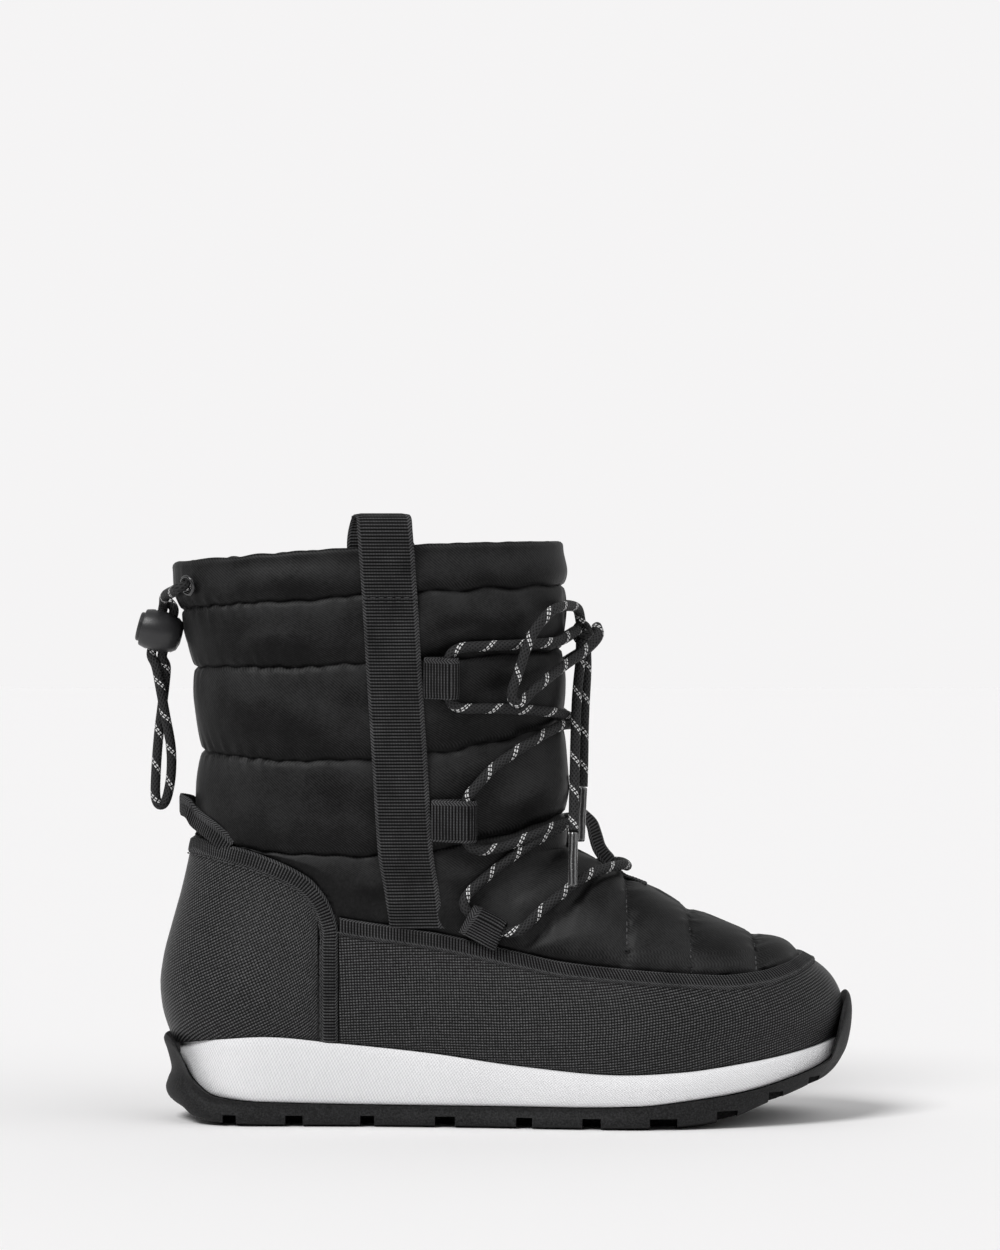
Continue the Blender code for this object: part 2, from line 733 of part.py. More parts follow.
def build_counter():
    edge, inward = counter_side()
    across = np.linspace(0, BINDING_WIDE, 3)
    tape = {LATERAL: [], MEDIAL: []}
    for side, sections in tape.items():
        for (x, z), (inward_x, inward_z) in zip(edge, inward):
            places = [(x + inward_x * d, z + inward_z * d) for d in across]
            outside = [on_skin(*place, side, TAPE_GAP + BINDING_THICK)[0] for place in places]
            inside = [on_skin(*place, side, TAPE_GAP)[0] for place in places]
            sections.append(np.array(outside + inside[::-1]))
    heel = []
    first = u_at(*edge[0], LATERAL)
    for u in np.linspace(first, -first, 11)[1:-1]:
        levels = [level_for(u, lambda x, d=d: counter_height(x) - d) for d in across]
        heel.append(sheet_loop(u, levels, TAPE_GAP, BINDING_THICK))
    loft("counter_binding", tape[LATERAL][::-1] + heel + tape[MEDIAL], TAPE)

    inner = edge + inward * (BINDING_WIDE + TAPE_GAP)
    order = np.argsort(inner[:, 0], kind="stable")
    front = u_at(COUNTER_FRONT_X - BINDING_WIDE - TAPE_GAP, COUNTER_CORNER, LATERAL)
    side = np.array([u for u in ring_shares(*UPPER_STEPS) if u < front] + [front])
    panel = []
    for u in np.concatenate([-side[:0:-1], side]):
        top = level_for(u, lambda x: np.interp(x, inner[order, 0], inner[order, 1]))
        rows = [PANEL_FOOT, *FOOT_ROWS[1:-1]]
        rows += list(np.linspace(rows[-1], top, 3)[1:])
        panel.append(sheet_loop(u, rows, PANEL_GAP, PANEL_THICK))
    loft("heel_counter", panel, COATED)


# Webbing


def over_skin(x, z, side, out):
    """The point over the skin whose own place along the boot is x."""
    base = x
    for _ in range(8):
        point = on_skin(base, z, side, out)[0]
        base += x - point[0]
    return point


def over_rim(x, z, side, out):
    """A point over the rim, out from the collar by a level distance."""
    rim_z = float(ring_height(np.array(RIM_LEVEL), np.array(x)))
    point, normal = on_skin(x, rim_z, side, 0.0)
    flat = normal[:2] / np.linalg.norm(normal[:2])
    return np.array([point[0] + flat[0] * out, point[1] + flat[1] * out, z])


def ribbon_sides(path):
    """Unit normals of a path of points in a plane, to its right."""
    along = np.gradient(np.asarray(path, float), axis=0)
    along /= np.linalg.norm(along, axis=1, keepdims=True)
    return np.stack([along[:, 1], -along[:, 0]], axis=1)


# Path of the strap's pull loop: out from the skin, and up from the rim
PULL_LOOP = table(
    "out up",
    (4.2, -4.0),
    (4.4, 2.0),
    (4.4, 8.0),
    (2.6, 12.4),
    (-0.8, 14.0),
    (-4.2, 12.4),
    (-6.0, 8.0),
    (-5.8, 3.0),
    (-5.2, -2.0),
    (-5.0, -10.0),
    (-5.0, -19.0),
)
LOOP_LEAN = -5.0  # the inside leg stands this much nearer the heel
STRAP_OUT = PUFF + GAP + STRAP_THICK / 2
STRAP_ROWS = 10
STRAP_ACROSS = 3


def build_strap(side):
    foot = float(read(MUDGUARD_EDGE, "z", "x", STRAP["x"][0])) + STRAP_THICK
    rim_x = STRAP["x"][-1]
    rim_z = float(ring_height(np.array(RIM_LEVEL), np.array(rim_x)))
    path = [(STRAP_OUT, z) for z in np.linspace(foot, rim_z + 2 * PULL_LOOP["up"][0], STRAP_ROWS)]
    path += [(out, rim_z + up) for out, up in zip(*PULL_LOOP.values())]
    share = np.linspace(0, 1, len(PULL_LOOP["out"]))
    lean = np.concatenate([np.zeros(STRAP_ROWS), LOOP_LEAN * ease(0.25, 0.75, share)])
    loops = []
    for number, ((out, z), (turn_out, turn_up)) in enumerate(zip(path, ribbon_sides(path))):
        middle = float(read(STRAP, "x", "z", z)) + lean[number]
        faces = []
        for thick in (STRAP_THICK / 2, -STRAP_THICK / 2):
            for across in np.linspace(-STRAP_WIDE / 2, STRAP_WIDE / 2, STRAP_ACROSS):
                if number < STRAP_ROWS:
                    faces.append(on_skin(middle + across, z, side, out + thick)[0])
                else:
                    faces.append(over_rim(middle + across, z + turn_up * thick, side, out + turn_out * thick))
        loops.append(np.array(faces[:STRAP_ACROSS] + faces[: STRAP_ACROSS - 1 : -1]))
    loft(f"strap_{SIDE_NAMES[side]}", loops, WEBBING)


# Keepers: middle of the sewn edge in side view, direction to the fold, and length
KEEPER_NAMES = ("top", "middle", "low")
KEEPERS = table(
    "x z turn long",
    (-32.6, 180.2, 0.0, 12.4),
    (-29.8, 123.4, 0.0, 16.4),
    (-11.4, 74.6, 62.0, 11.4),
)
KEEPER_FOLD = LACE_RADIUS + KEEPER_THICK / 2 + 0.9  # radius of the fold round the lace
KEEPER_OUT = PUFF + 1.5 * GAP + KEEPER_THICK / 2
KEEPER_SEWN = table("along out", (0.6, 1.8), (0.6, 0.0))  # the two layers at the sewn edge


def fold_middle(long):
    return long - KEEPER_FOLD - KEEPER_THICK / 2


def keeper_path(long):
    """Closed centre line of the folded webbing: along its length, and out from the skin."""
    middle = fold_middle(long)
    path = [(middle / 2, 0.0)]
    for angle in np.radians(np.linspace(-90, 105, 8)):
        path.append((middle + KEEPER_FOLD * math.cos(angle), KEEPER_FOLD * (1 + math.sin(angle))))
    path += list(zip(*KEEPER_SEWN.values()))
    return np.array(path) + (0, KEEPER_OUT)


def keeper_axes(turn):
    ahead = np.array([math.cos(math.radians(turn)), math.sin(math.radians(turn))])
    return ahead, np.array([-ahead[1], ahead[0]])


def through_keeper(number, side):
    """Three points of the lace inside a keeper's fold, from its upper end to its lower one."""
    x, z, turn, long = (column[number] for column in KEEPERS.values())
    ahead, across = keeper_axes(turn)
    half = KEEPER_WIDE / 2 + GAP
    places = [np.array([x, z]) + ahead * fold_middle(long) + across * wide for wide in (half, 0.0, -half)]
    return [on_skin(*place, side, KEEPER_OUT + KEEPER_FOLD)[0] for place in places]


def build_keeper(name, x, z, turn, long, side):
    path = keeper_path(long)
    along = np.roll(path, -1, axis=0) - np.roll(path, 1, axis=0)
    along /= np.linalg.norm(along, axis=1, keepdims=True)
    outward = np.stack([along[:, 1], -along[:, 0]], axis=1)
    ahead, across = keeper_axes(turn)
    loops = []
    for (reach, out), (turn_reach, turn_out) in zip(path, outward):
        section = []
        for wide, thick in ((-1, 1), (1, 1), (1, -1), (-1, -1)):
            half = thick * KEEPER_THICK / 2
            place = np.array([x, z]) + ahead * (reach + turn_reach * half) + across * wide * KEEPER_WIDE / 2
            section.append(on_skin(*place, side, out + turn_out * half)[0])
        loops.append(section)
    loft(f"keeper_{SIDE_NAMES[side]}_{name}", loops, WEBBING, closed=True)


# Webbing loop at the front centre, in side view: off the shaft, under the lace and onto the vamp
GUIDE = table(
    "x z",
    (26.1, 139.0),
    (26.8, 132.0),
    (30.6, 125.0),
    (34.6, 119.6),
    (36.2, 114.6),
    (37.6, 110.0),
    (39.6, 106.8),
    (42.0, 104.2),
    (45.0, 100.8),
    (48.2, 98.3),
    (52.4, 96.7),
    (57.0, 94.9),
)
GUIDE_WIDE = 10.0
GUIDE_Y = -1.0  # the instep's ridge lies a little towards the outer side
GUIDE_THICK = 1.2


def build_guide():
    path = np.stack([GUIDE["x"], GUIDE["z"]], axis=1)
    loops = []
    for (x, z), (turn_x, turn_z) in zip(path, ribbon_sides(path)):
        section = []
        for wide, thick in ((-1, -1), (1, -1), (1, 1), (-1, 1)):
            half = thick * GUIDE_THICK / 2
            section.append((x + turn_x * half, GUIDE_Y + wide * GUIDE_WIDE / 2, z + turn_z * half))
        loops.append(section)
    loft("lace_guide", loops, WEBBING)


# Heel tab on one side: place in side view and distance out from the skin, then its back points
HEEL_TAB = table(
    "x z out",
    (-112.0, 114.6, 4.2),
    (-116.5, 118.4, 4.4),
    (-121.0, 122.6, 5.2),
)
HEEL_TAB_BACK = table("x y z", (-128.8, 11.0, 126.0), (-132.0, 4.0, 127.2))
HEEL_TAB_WIDE = 8.6
HEEL_TAB_THICK = 1.2


def build_heel_tab():
    half = {}
    for side in (LATERAL, MEDIAL):
        half[side] = [on_skin(x, z, side, out)[0] for x, z, out in zip(*HEEL_TAB.values())]
        half[side] += [np.array([x, side * y, z]) for x, y, z in zip(*HEEL_TAB_BACK.values())]
    path = np.array(half[LATERAL] + half[MEDIAL][::-1])
    loops = []
    for point, direction in zip(path, np.gradient(path, axis=0)):
        flat = np.array([-direction[1], direction[0], 0.0])
        thick = flat / np.linalg.norm(flat) * HEEL_TAB_THICK / 2
        wide = np.cross(direction, flat)
        wide = wide / np.linalg.norm(wide) * HEEL_TAB_WIDE / 2
        loops.append([point - wide + thick, point + wide + thick, point + wide - thick, point - wide - thick])
    loft("heel_tab", loops, WEBBING)


# Cords


def smooth_route(points, step):
    """A smooth curve through the route's points, in equal parts of about a step between two of them."""
    points = np.asarray(points, float)
    ends = np.vstack([2 * points[0] - points[1], points, 2 * points[-1] - points[-2]])
    route = []
    for a, b, c, d in zip(ends, ends[1:], ends[2:], ends[3:]):
        count = max(1, round(float(np.linalg.norm(c - b)) / step))
        for t in np.linspace(0, 1, count, endpoint=False):
            square = 2 * a - 5 * b + 4 * c - d
            cube = 3 * b - a - 3 * c + d
            route.append(0.5 * (2 * b + (c - a) * t + square * t**2 + cube * t**3))
    return np.array(route + [points[-1]])


def cord(name, points, radius, look, spacing=2.8):
    """A tube along a smooth curve, with a point every few diameters."""
    route = smooth_route(points, spacing * 2 * radius)
    line = bpy.data.curves.new(name, "CURVE")
    line.dimensions = "3D"
    line.bevel_depth = radius * MM
    line.bevel_resolution = CORD_SIDES
    line.use_fill_caps = True
    line.materials.append(look)
    spline = line.splines.new("POLY")
    spline.points.add(len(route) - 1)
    for target, point in zip(spline.points, route):
        target.co = (*(point * MM), 1.0)
    made = bpy.data.objects.new(name, line)
    boot.objects.link(made)
    return made


def as_mesh(tube):
    """The tube as a closed mesh, in its place and under its name."""
    bpy.context.view_layer.update()
    mesh = bpy.data.meshes.new_from_object(tube.evaluated_get(bpy.context.evaluated_depsgraph_get()))
    shape = bmesh.new()
    shape.from_mesh(mesh)
    bmesh.ops.remove_doubles(shape, verts=shape.verts, dist=1e-6)
    shape.to_mesh(mesh)
    shape.free()
    name, look, place = tube.name, tube.data.materials[0], tube.matrix_world.copy()
    bpy.data.objects.remove(tube, do_unlink=True)
    made = add_object(name, mesh, look)
    made.matrix_world = place
    return made


def make_cutter(made):
    boot.objects.unlink(made)
    cutters.objects.link(made)
    made.hide_render = True
    made.display_type = "WIRE"


LACE_OUT = PUFF + 2 * GAP + LACE_RADIUS  # over the padding
IN_KEEPER = KEEPER_OUT + KEEPER_FOLD  # inside a folded keeper
ON_GUIDE = LACE_RADIUS + GUIDE_THICK + 7 * GAP  # over the webbing on the vamp

# One strand of the lace in side view, from the knot down: it starts on its own side (own 1),
# crosses the front (own 0) and changes sides at each crossing. A row with no distance out from the
# skin is a pass through the keeper whose number it gives as x.
LACE = table(
    "x z own out",
    (21.5, 194.2, 1, LACE_OUT),
    (12.0, 193.4, 1, LACE_OUT),
    (-6.0, 192.8, 1, LACE_OUT),
    (-18.4, 192.2, 1, IN_KEEPER),
    (0, 0, 1, 0),
    (-18.4, 168.2, 1, IN_KEEPER),
    (-6.0, 167.8, 1, LACE_OUT),
    (10.0, 166.6, 1, LACE_OUT),
    (21.5, 164.6, 1, LACE_OUT),
    (60.0, 162.0, 0, LACE_OUT),
    (21.5, 159.6, -1, LACE_OUT),
    (10.0, 154.0, -1, LACE_OUT),
    (-4.0, 145.0, -1, LACE_OUT),
    (-12.4, 136.6, -1, IN_KEEPER),
    (1, 0, -1, 0),
    (-11.4, 111.8, -1, IN_KEEPER),
    (-2.0, 112.4, -1, LACE_OUT),
    (11.0, 116.8, -1, LACE_OUT),
    (22.0, 120.4, -1, LACE_OUT),
    (60.0, 121.5, 0, LACE_OUT),
    (22.0, 119.2, 1, LACE_OUT),
    (12.0, 114.6, 1, LACE_OUT),
    (0.0, 106.4, 1, LACE_OUT),
    (-9.6, 98.4, 1, LACE_OUT),
    (-17.0, 90.6, 1, IN_KEEPER),
    (2, 0, 1, 0),
    (5.8, 77.6, 1, IN_KEEPER),
    (12.0, 83.4, 1, LACE_OUT),
    (22.0, 90.6, 1, LACE_OUT),
    (33.0, 96.6, 1, LACE_OUT),
    (45.4, 98.6, 1, ON_GUIDE),
    (60.0, 97.0, 0, ON_GUIDE),
)
STRANDS_APART = 1.0  # each strand from the middle of a crossing, up or down
LACE_TOP = (28.8, 6.0, 198.2)  # where each strand goes into the knot


def build_lace():
    strands = []
    for side in (LATERAL, MEDIAL):
        points = [np.array(LACE_TOP) * (1, side, 1)]
        for x, z, own, out in zip(*LACE.values()):
            here = side if own >= 0 else -side
            if out == 0:
                points += through_keeper(int(x), here)
            elif own == 0:
                points.append(on_skin(x, z - side * STRANDS_APART, here, out)[0])
            else:
                points.append(over_skin(x, z, here, out))
        points[-1][1] += side * GAP
        strands.append(as_mesh(cord(f"lace_strand_{SIDE_NAMES[side]}", points, LACE_RADIUS, LACE_CORD)))
    strands[0].name = "lace_crossings"
    cut(strands[0], strands[1], "UNION")
    make_cutter(strands[1])


# Bow: the knot, and the loops and ends that hang from it
KNOT_AT = (30.8, 0.0, 197.0)
KNOT_HALF = (4.8, 5.0, 5.4)
LOOP_OUT = LACE_OUT + 2 * LACE_RADIUS + 2 * GAP  # over the lace that crosses below

# Loop on the outer side: near the knot its y is given, further out its distance from the skin
BOW_LOOP = table(
    "x y z out",
    (30.2, -3.4, 201.6, 0),
    (28.4, -8.6, 207.4, 0),
    (19.4, 0, 207.6, LOOP_OUT),
    (11.9, 0, 200.0, LOOP_OUT),
    (7.9, 0, 192.0, LOOP_OUT),
    (4.7, 0, 181.9, LOOP_OUT),
    (2.4, 0, 173.0, LOOP_OUT),
    (3.4, 0, 168.6, LOOP_OUT),
    (7.4, 0, 172.2, LOOP_OUT),
    (14.7, 0, 178.3, LOOP_OUT),
    (23.6, -24.0, 184.4, 0),
    (32.4, -14.0, 190.4, 0),
    (37.6, -8.2, 196.0, 0),
    (36.7, -3.4, 199.6, 0),
)
LACE_END_NEAR = table(
    "x y z",
    (30.2, -4.2, 193.3),
    (30.0, -8.6, 186.0),
    (29.2, -11.0, 179.0),
    (28.4, -14.0, 170.0),
    (27.8, -18.0, 155.0),
    (27.4, -23.0, 140.0),
    (27.0, -28.5, 127.0),
    (26.8, -33.0, 118.0),
)
LACE_END_FAR = table(
    "x y z",
    (32.5, 0.7, 190.9),
    (32.6, -2.0, 182.0),
    (31.8, -6.4, 168.0),
    (31.4, -7.8, 158.0),
    (31.2, -9.2, 146.0),
    (32.4, -11.2, 135.0),
)
TIP_LONG = 22.0
TIP_RADIUS = 1.9
TIP_DROP = {"near": (-0.02, -0.30, -0.95), "far": (0.12, -0.22, -0.97)}


def build_bow():
    bpy.ops.mesh.primitive_uv_sphere_add(segments=12, ring_count=7, radius=MM)
    knot = bpy.context.object
    knot.name = "lace_knot"
    knot.data.materials.append(LACE_CORD)
    knot.data.transform(Matrix.Diagonal((*KNOT_HALF, 1.0)))
    knot.data.shade_smooth()
    knot.location = Vector(KNOT_AT) * MM
    for holder in list(knot.users_collection):
        holder.objects.unlink(knot)
    boot.objects.link(knot)
    for side in (LATERAL, MEDIAL):
        points = []
        for x, y, z, out in zip(*BOW_LOOP.values()):
            points.append(over_skin(x, z, side, out) if out else np.array([x, y * -side, z]))
        cord(f"lace_loop_{SIDE_NAMES[side]}", points, LACE_RADIUS, LACE_CORD)
    for end, rows in (("near", LACE_END_NEAR), ("far", LACE_END_FAR)):
        points = np.stack(list(rows.values()), axis=1)
        cord(f"lace_end_{end}", points, LACE_RADIUS, LACE_CORD)
        start = points[-1] + np.array(TIP_DROP[end]) * 2 * GAP
        tip = np.array([start + np.array(TIP_DROP[end]) * TIP_LONG * share for share in (0, 0.5, 1)])
        cord(f"lace_tip_{end}", tip, TIP_RADIUS, CLEAR_TIP)


# Drawcord of the collar
EYELET = table("x z", (-125.2, 217.2))
EYELET_MAJOR = 3.5
EYELET_MINOR = 0.85
DRAWCORD_RADIUS = 2.0
LOCK_AT = (-141.2, 0.0, 197.6)
LOCK_TILT = 14.5  # the button end is raised by this angle
CORDS_APART = 2.25  # each run of the cord from the middle of the slot
CORDS_IN = 1.3  # the slot's middle, from the lock's middle towards its closed end
LOCK_STEPS = 16

# Turned sections of the lock, from its axis inside the bore over the rim to the closed end
BARREL = table(
    "radius along",
    (0.0, -7.9),
    (5.5, -7.9),
    (5.5, 3.3),
    (6.3, 3.3),
    (6.3, 6.6),
    (6.9, 7.2),
    (7.5, 6.7),
    (8.4, 3.0),
    (8.6, -1.0),
    (7.8, -5.5),
    (5.6, -8.6),
    (0.0, -9.4),
)
PLUNGER = table(
    "radius along",
    (0.0, 9.0),
    (5.3, 8.9),
    (5.95, 8.2),
    (5.95, 5.9),
    (5.15, 5.9),
    (5.15, -5.2),
    (0.0, -5.2),
)
SLOT_HALF = 2.45
BARREL_SLOT = (-6.3, 3.6)
PLUNGER_SLOT = (-20.0, 6.2)


def build_eyelet(side):
    x, z = EYELET["x"][0], EYELET["z"][0]
    middle, normal = on_skin(x, z, side, PUFF + GAP + EYELET_MINOR)
    bpy.ops.mesh.primitive_torus_add(
        major_segments=16,
        minor_segments=5,
        major_radius=EYELET_MAJOR * MM,
        minor_radius=EYELET_MINOR * MM,
        location=middle * MM,
        rotation=Vector(normal).to_track_quat("Z", "Y").to_euler(),
    )
    ring = bpy.context.object
    ring.name = f"eyelet_{SIDE_NAMES[side]}"
    ring.data.materials.append(BLACK_METAL)
    ring.data.shade_smooth()
    for holder in list(ring.users_collection):
        holder.objects.unlink(ring)
    boot.objects.link(ring)


def lock_place(along, up, y):
    """A place in the cord lock: along its axis to the button, along its slot, and across."""
    tilt = math.radians(LOCK_TILT)
    axis = np.array([-math.cos(tilt), 0.0, math.sin(tilt)])
    slot = np.array([math.sin(tilt), 0.0, math.cos(tilt)])
    return np.array(LOCK_AT) + axis * along + slot * up + np.array([0.0, y, 0.0])


def turned(name, rows, look):
    profile = [(radius, 0.0, along) for radius, along in zip(*rows.values())]
    mesh = bpy.data.meshes.new(name)
    mesh.from_pydata([Vector(point) * MM for point in profile], [(i, i + 1) for i in range(len(profile) - 1)], [])
    made = add_object(name, mesh, look)
    spin = made.modifiers.new("turn", "SCREW")
    spin.steps = LOCK_STEPS
    spin.render_steps = LOCK_STEPS
    spin.use_merge_vertices = True
    spin.merge_threshold = 1e-5
    made.location = Vector(LOCK_AT) * MM
    made.rotation_euler = (0.0, math.radians(LOCK_TILT - 90), 0.0)
    return made


def build_cord_lock():
    for name, rows, slot in (("barrel", BARREL, BARREL_SLOT), ("plunger", PLUNGER, PLUNGER_SLOT)):
        made = turned(f"cord_lock_{name}", rows, MOULDED)
        size = (2 * CUTTER_TALL, 2 * SLOT_HALF, slot[1] - slot[0])
        cutter = box_cutter(f"slot_{name}", (0.0, 0.0, sum(slot) / 2), size)
        cutter.location = made.location
        cutter.rotation_euler = made.rotation_euler
        cut(made, cutter)


# Run of the drawcord on one side, from the eyelet to the lock, and its tail from the lock to the fold
DRAW_TOP = table("x y z", (-137.4, 21.0, 213.4), (-139.4, 11.0, 212.0), (-139.2, 3.4, 210.8))
DRAW_TAIL = table(
    "x y z",
    (-142.6, -1.2, 184.0),
    (-140.6, -2.3, 174.0),
    (-138.6, -2.3, 163.0),
    (-136.4, -1.2, 150.0),
    (-136.6, 0.0, 138.0),
    (-138.6, 0.0, 128.6),
    (-141.0, 0.0, 126.4),
    (-142.8, 0.0, 130.0),
    (-142.6, 1.0, 142.0),
    (-141.6, 2.2, 156.0),
    (-140.4, 2.3, 166.0),
    (-139.2, 2.2, 176.0),
    (-138.6, 1.2, 184.0),
)


def build_drawcord():
    points = []
    for side in (LATERAL, MEDIAL):
        run = []
        for out in (PUFF + 3 * GAP, PUFF + 3 * DRAWCORD_RADIUS):
            run.append(on_skin(EYELET["x"][0], EYELET["z"][0], side, out)[0])
        run += [np.array([x, side * y, z]) for x, y, z in zip(*DRAW_TOP.values())]
        run += [lock_place(-CORDS_IN - side * CORDS_APART, up, 0.0) for up in (10.4, 5.0, -5.0, -10.4)]
        points.append(run)
    tail = list(np.stack(list(DRAW_TAIL.values()), axis=1))
    cord("drawcord", points[0] + tail + points[1][::-1], DRAWCORD_RADIUS, LACE_CORD, 2.0)


def start_scene():
    for old in list(bpy.data.objects):
        bpy.data.objects.remove(old, do_unlink=True)


start_scene()
boot = bpy.data.collections.new("quilted_winter_boot")
cutters = bpy.data.collections.new("cutters")
for group in (boot, cutters):
    bpy.context.scene.collection.children.link(group)

QUILT = material("quilted_nylon", (0.012, 0.012, 0.013), 0.55)
FOAM = material("midsole_foam", (0.80, 0.80, 0.80), 0.6)
RUBBER = material("outsole_rubber", (0.03, 0.03, 0.032), 0.7)
FELT = material("insole_felt", (0.05, 0.05, 0.05), 0.9)
COATED = material("coated_fabric", (0.03, 0.03, 0.031), 0.5)
TAPE = material("binding_tape", (0.022, 0.022, 0.024), 0.75)
WEBBING = material("webbing", (0.022, 0.022, 0.024), 0.75)
LACE_CORD = material("lace_cord", (0.03, 0.03, 0.03), 0.7)
CLEAR_TIP = material("clear_tip", (0.35, 0.35, 0.35), 0.2)
MOULDED = material("moulded_plastic", (0.05, 0.05, 0.052), 0.4)
BLACK_METAL = material("black_metal", (0.03, 0.03, 0.03), 0.35, 1.0)

build_upper()
build_midsole()
build_outsole()
build_insole()
build_mudguard()
build_counter()
build_guide()
build_heel_tab()
for this_side in (LATERAL, MEDIAL):
    build_strap(this_side)
    build_eyelet(this_side)
    for keeper, values in zip(KEEPER_NAMES, zip(*KEEPERS.values())):
        build_keeper(keeper, *values, this_side)
build_lace()
build_bow()
build_cord_lock()
build_drawcord()
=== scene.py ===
"""Quilted winter boot for the right foot, standing on a pale studio floor.

Sizes are in millimetres and become metres when a mesh is made. The toe points along +X, the outer
side along -Y, and the sole stands on z = 0.
"""

import math

import bmesh
import bpy
import numpy as np
from mathutils import Matrix, Vector


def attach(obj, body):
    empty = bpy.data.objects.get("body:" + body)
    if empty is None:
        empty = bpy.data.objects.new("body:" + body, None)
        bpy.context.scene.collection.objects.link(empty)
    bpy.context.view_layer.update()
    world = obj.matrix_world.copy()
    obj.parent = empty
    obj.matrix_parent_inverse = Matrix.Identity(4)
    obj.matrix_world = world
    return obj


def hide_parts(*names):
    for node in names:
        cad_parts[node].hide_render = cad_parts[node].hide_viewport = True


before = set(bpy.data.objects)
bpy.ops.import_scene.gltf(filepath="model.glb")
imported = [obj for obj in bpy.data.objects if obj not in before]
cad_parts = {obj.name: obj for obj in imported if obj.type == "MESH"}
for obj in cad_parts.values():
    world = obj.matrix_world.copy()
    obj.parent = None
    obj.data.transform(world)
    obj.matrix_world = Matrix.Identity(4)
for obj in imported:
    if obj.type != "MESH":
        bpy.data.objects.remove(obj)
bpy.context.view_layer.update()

# Upper: one soft shell of black nylon with padding between the shell and a knitted lining.
# It is quilted in level rings round the shaft and in three seams over the vamp, so it swells
# between the stitched lines and puckers along them. The rim is turned in and holds the drawcord.
MM = 0.001
GAP = 0.3  # clearance between pieces that touch


def table(columns, *rows):
    """A short table, kept as one array for each named column."""
    return dict(zip(columns.split(), np.array(rows, float).T))


# Driving sizes of the foot
HEEL_X = -139.2
TOE_X = 136.0
TOE_WIDEST_Z = 45.0
TOE_EDGE_Z = 34.0
EDGE_TUCK = 2.5  # the upper draws in by this much down to the sole edge
WALL = 3.0
PUFF = 2.6  # height of the padding over the stitched lines
PUFF_ROUND = 11.0  # distance from a stitched line at which the padding is full
FOOT_POWER = 2.3  # roundness of the vamp over its width
SHAFT_POWER = 2.3  # roundness of the shaft seen from above
ANKLE_BLEND = 9.0  # fillet between the foot and the shaft

# Plan of the foot at its widest: half width and centre line, by share of the length
PLAN = table(
    "share half axis lift",
    (0.00, 33.0, 0.0, 23.0),
    (0.13, 34.5, 0.0, 21.0),
    (0.30, 35.0, -0.5, 19.0),
    (0.46, 37.5, -2.0, 18.0),
    (0.60, 42.5, -2.5, 17.0),
    (0.72, 46.5, -1.5, 16.0),
    (0.84, 46.0, 2.0, 14.0),
    (1.00, 42.0, 6.5, 11.0),
)
HEEL_ROUND_SHARE = 0.135
TOE_ROUND_SHARE = 0.72
HEEL_POWER = 2.2
TOE_POWER = 2.4

# Top line of the midsole, where the upper ends
SOLE_EDGE = table(
    "x z",
    (-136.0, 30.6),
    (-116.0, 34.6),
    (-97.0, 36.0),
    (-68.0, 33.6),
    (-30.0, 29.8),
    (5.5, 25.0),
    (45.0, 22.0),
    (69.0, 23.0),
    (93.0, 25.8),
    (117.0, 29.6),
    (136.0, 34.0),
)

# Centre line of the instep and toe, under the padding
RIDGE = table(
    "x z",
    (-150.0, 128.0),
    (-60.0, 124.0),
    (-10.0, 117.0),
    (10.0, 112.0),
    (27.0, 106.5),
    (41.0, 100.5),
    (58.0, 91.0),
    (72.0, 84.0),
    (98.0, 73.5),
    (110.0, 70.0),
    (118.0, 66.0),
    (126.0, 61.3),
    (131.0, 56.8),
    (134.2, 51.5),
    (136.0, 45.0),
)

# Back line of the heel, under the counter
HEEL_BACK = table(
    "z x",
    (28.0, -133.0),
    (34.5, -135.0),
    (46.0, -138.4),
    (55.0, -139.2),
    (65.0, -138.0),
    (78.0, -134.7),
    (92.0, -130.8),
    (104.0, -128.0),
    (114.0, -126.0),
    (124.0, -120.0),
    (134.0, -105.0),
)

# Level sections of the shaft, under the padding
SHAFT = table(
    "z back front half",
    (40.0, -108.0, 12.0, 28.0),
    (80.0, -116.0, 20.0, 34.0),
    (112.0, -122.0, 22.0, 38.5),
    (131.0, -122.9, 22.4, 40.5),
    (152.0, -122.5, 21.5, 42.0),
    (172.0, -124.2, 20.7, 43.5),
    (187.0, -126.0, 21.0, 44.5),
    (207.0, -131.0, 21.5, 46.0),
    (223.0, -135.0, 22.5, 47.0),
    (234.0, -136.0, 22.5, 47.5),
)

# Height of each stitched ring at the back, under the strap and at the front
RING_X = (-125.0, -45.0, 25.0)
RINGS = table(
    "back middle front",
    (115.5, 109.3, 124.8),
    (149.8, 148.0, 161.0),
    (183.4, 186.0, 191.0),
    (207.3, 213.4, 216.5),
    (224.8, 230.8, 232.4),
)
FIRST_LEVEL = -1.0
RIM_LEVEL = float(len(RINGS["back"]))
RIM_ROUND = 1.8  # the folded rim stands this much over its last ring

VAMP_SEAMS = (48.0, 73.5, 100.0)

# Upper edge of the counter and of the mudguard, outside their bindings. The mudguard's line goes on
# under the counter to the heel, as level 0 of the skin.
COUNTER_FRONT_X = -67.3
COUNTER_EDGE = table(
    "x z",
    (-140.0, 114.5),
    (-126.0, 114.2),
    (-105.6, 110.8),
    (-89.9, 105.5),
    (-78.4, 99.2),
    (-71.5, 91.0),
    (COUNTER_FRONT_X, 80.0),
)
MUDGUARD_EDGE = table(
    "x z",
    (-140.0, 93.0),
    (-100.0, 91.5),
    (-66.8, 83.9),
    (-29.3, 78.0),
    (5.4, 70.2),
    (20.9, 66.8),
    (44.4, 64.0),
    (72.8, 61.4),
    (87.0, 60.5),
    (100.5, 61.3),
    (111.5, 63.5),
    (119.7, 65.6),
    (136.0, 66.2),
)

LATERAL = -1
MEDIAL = 1

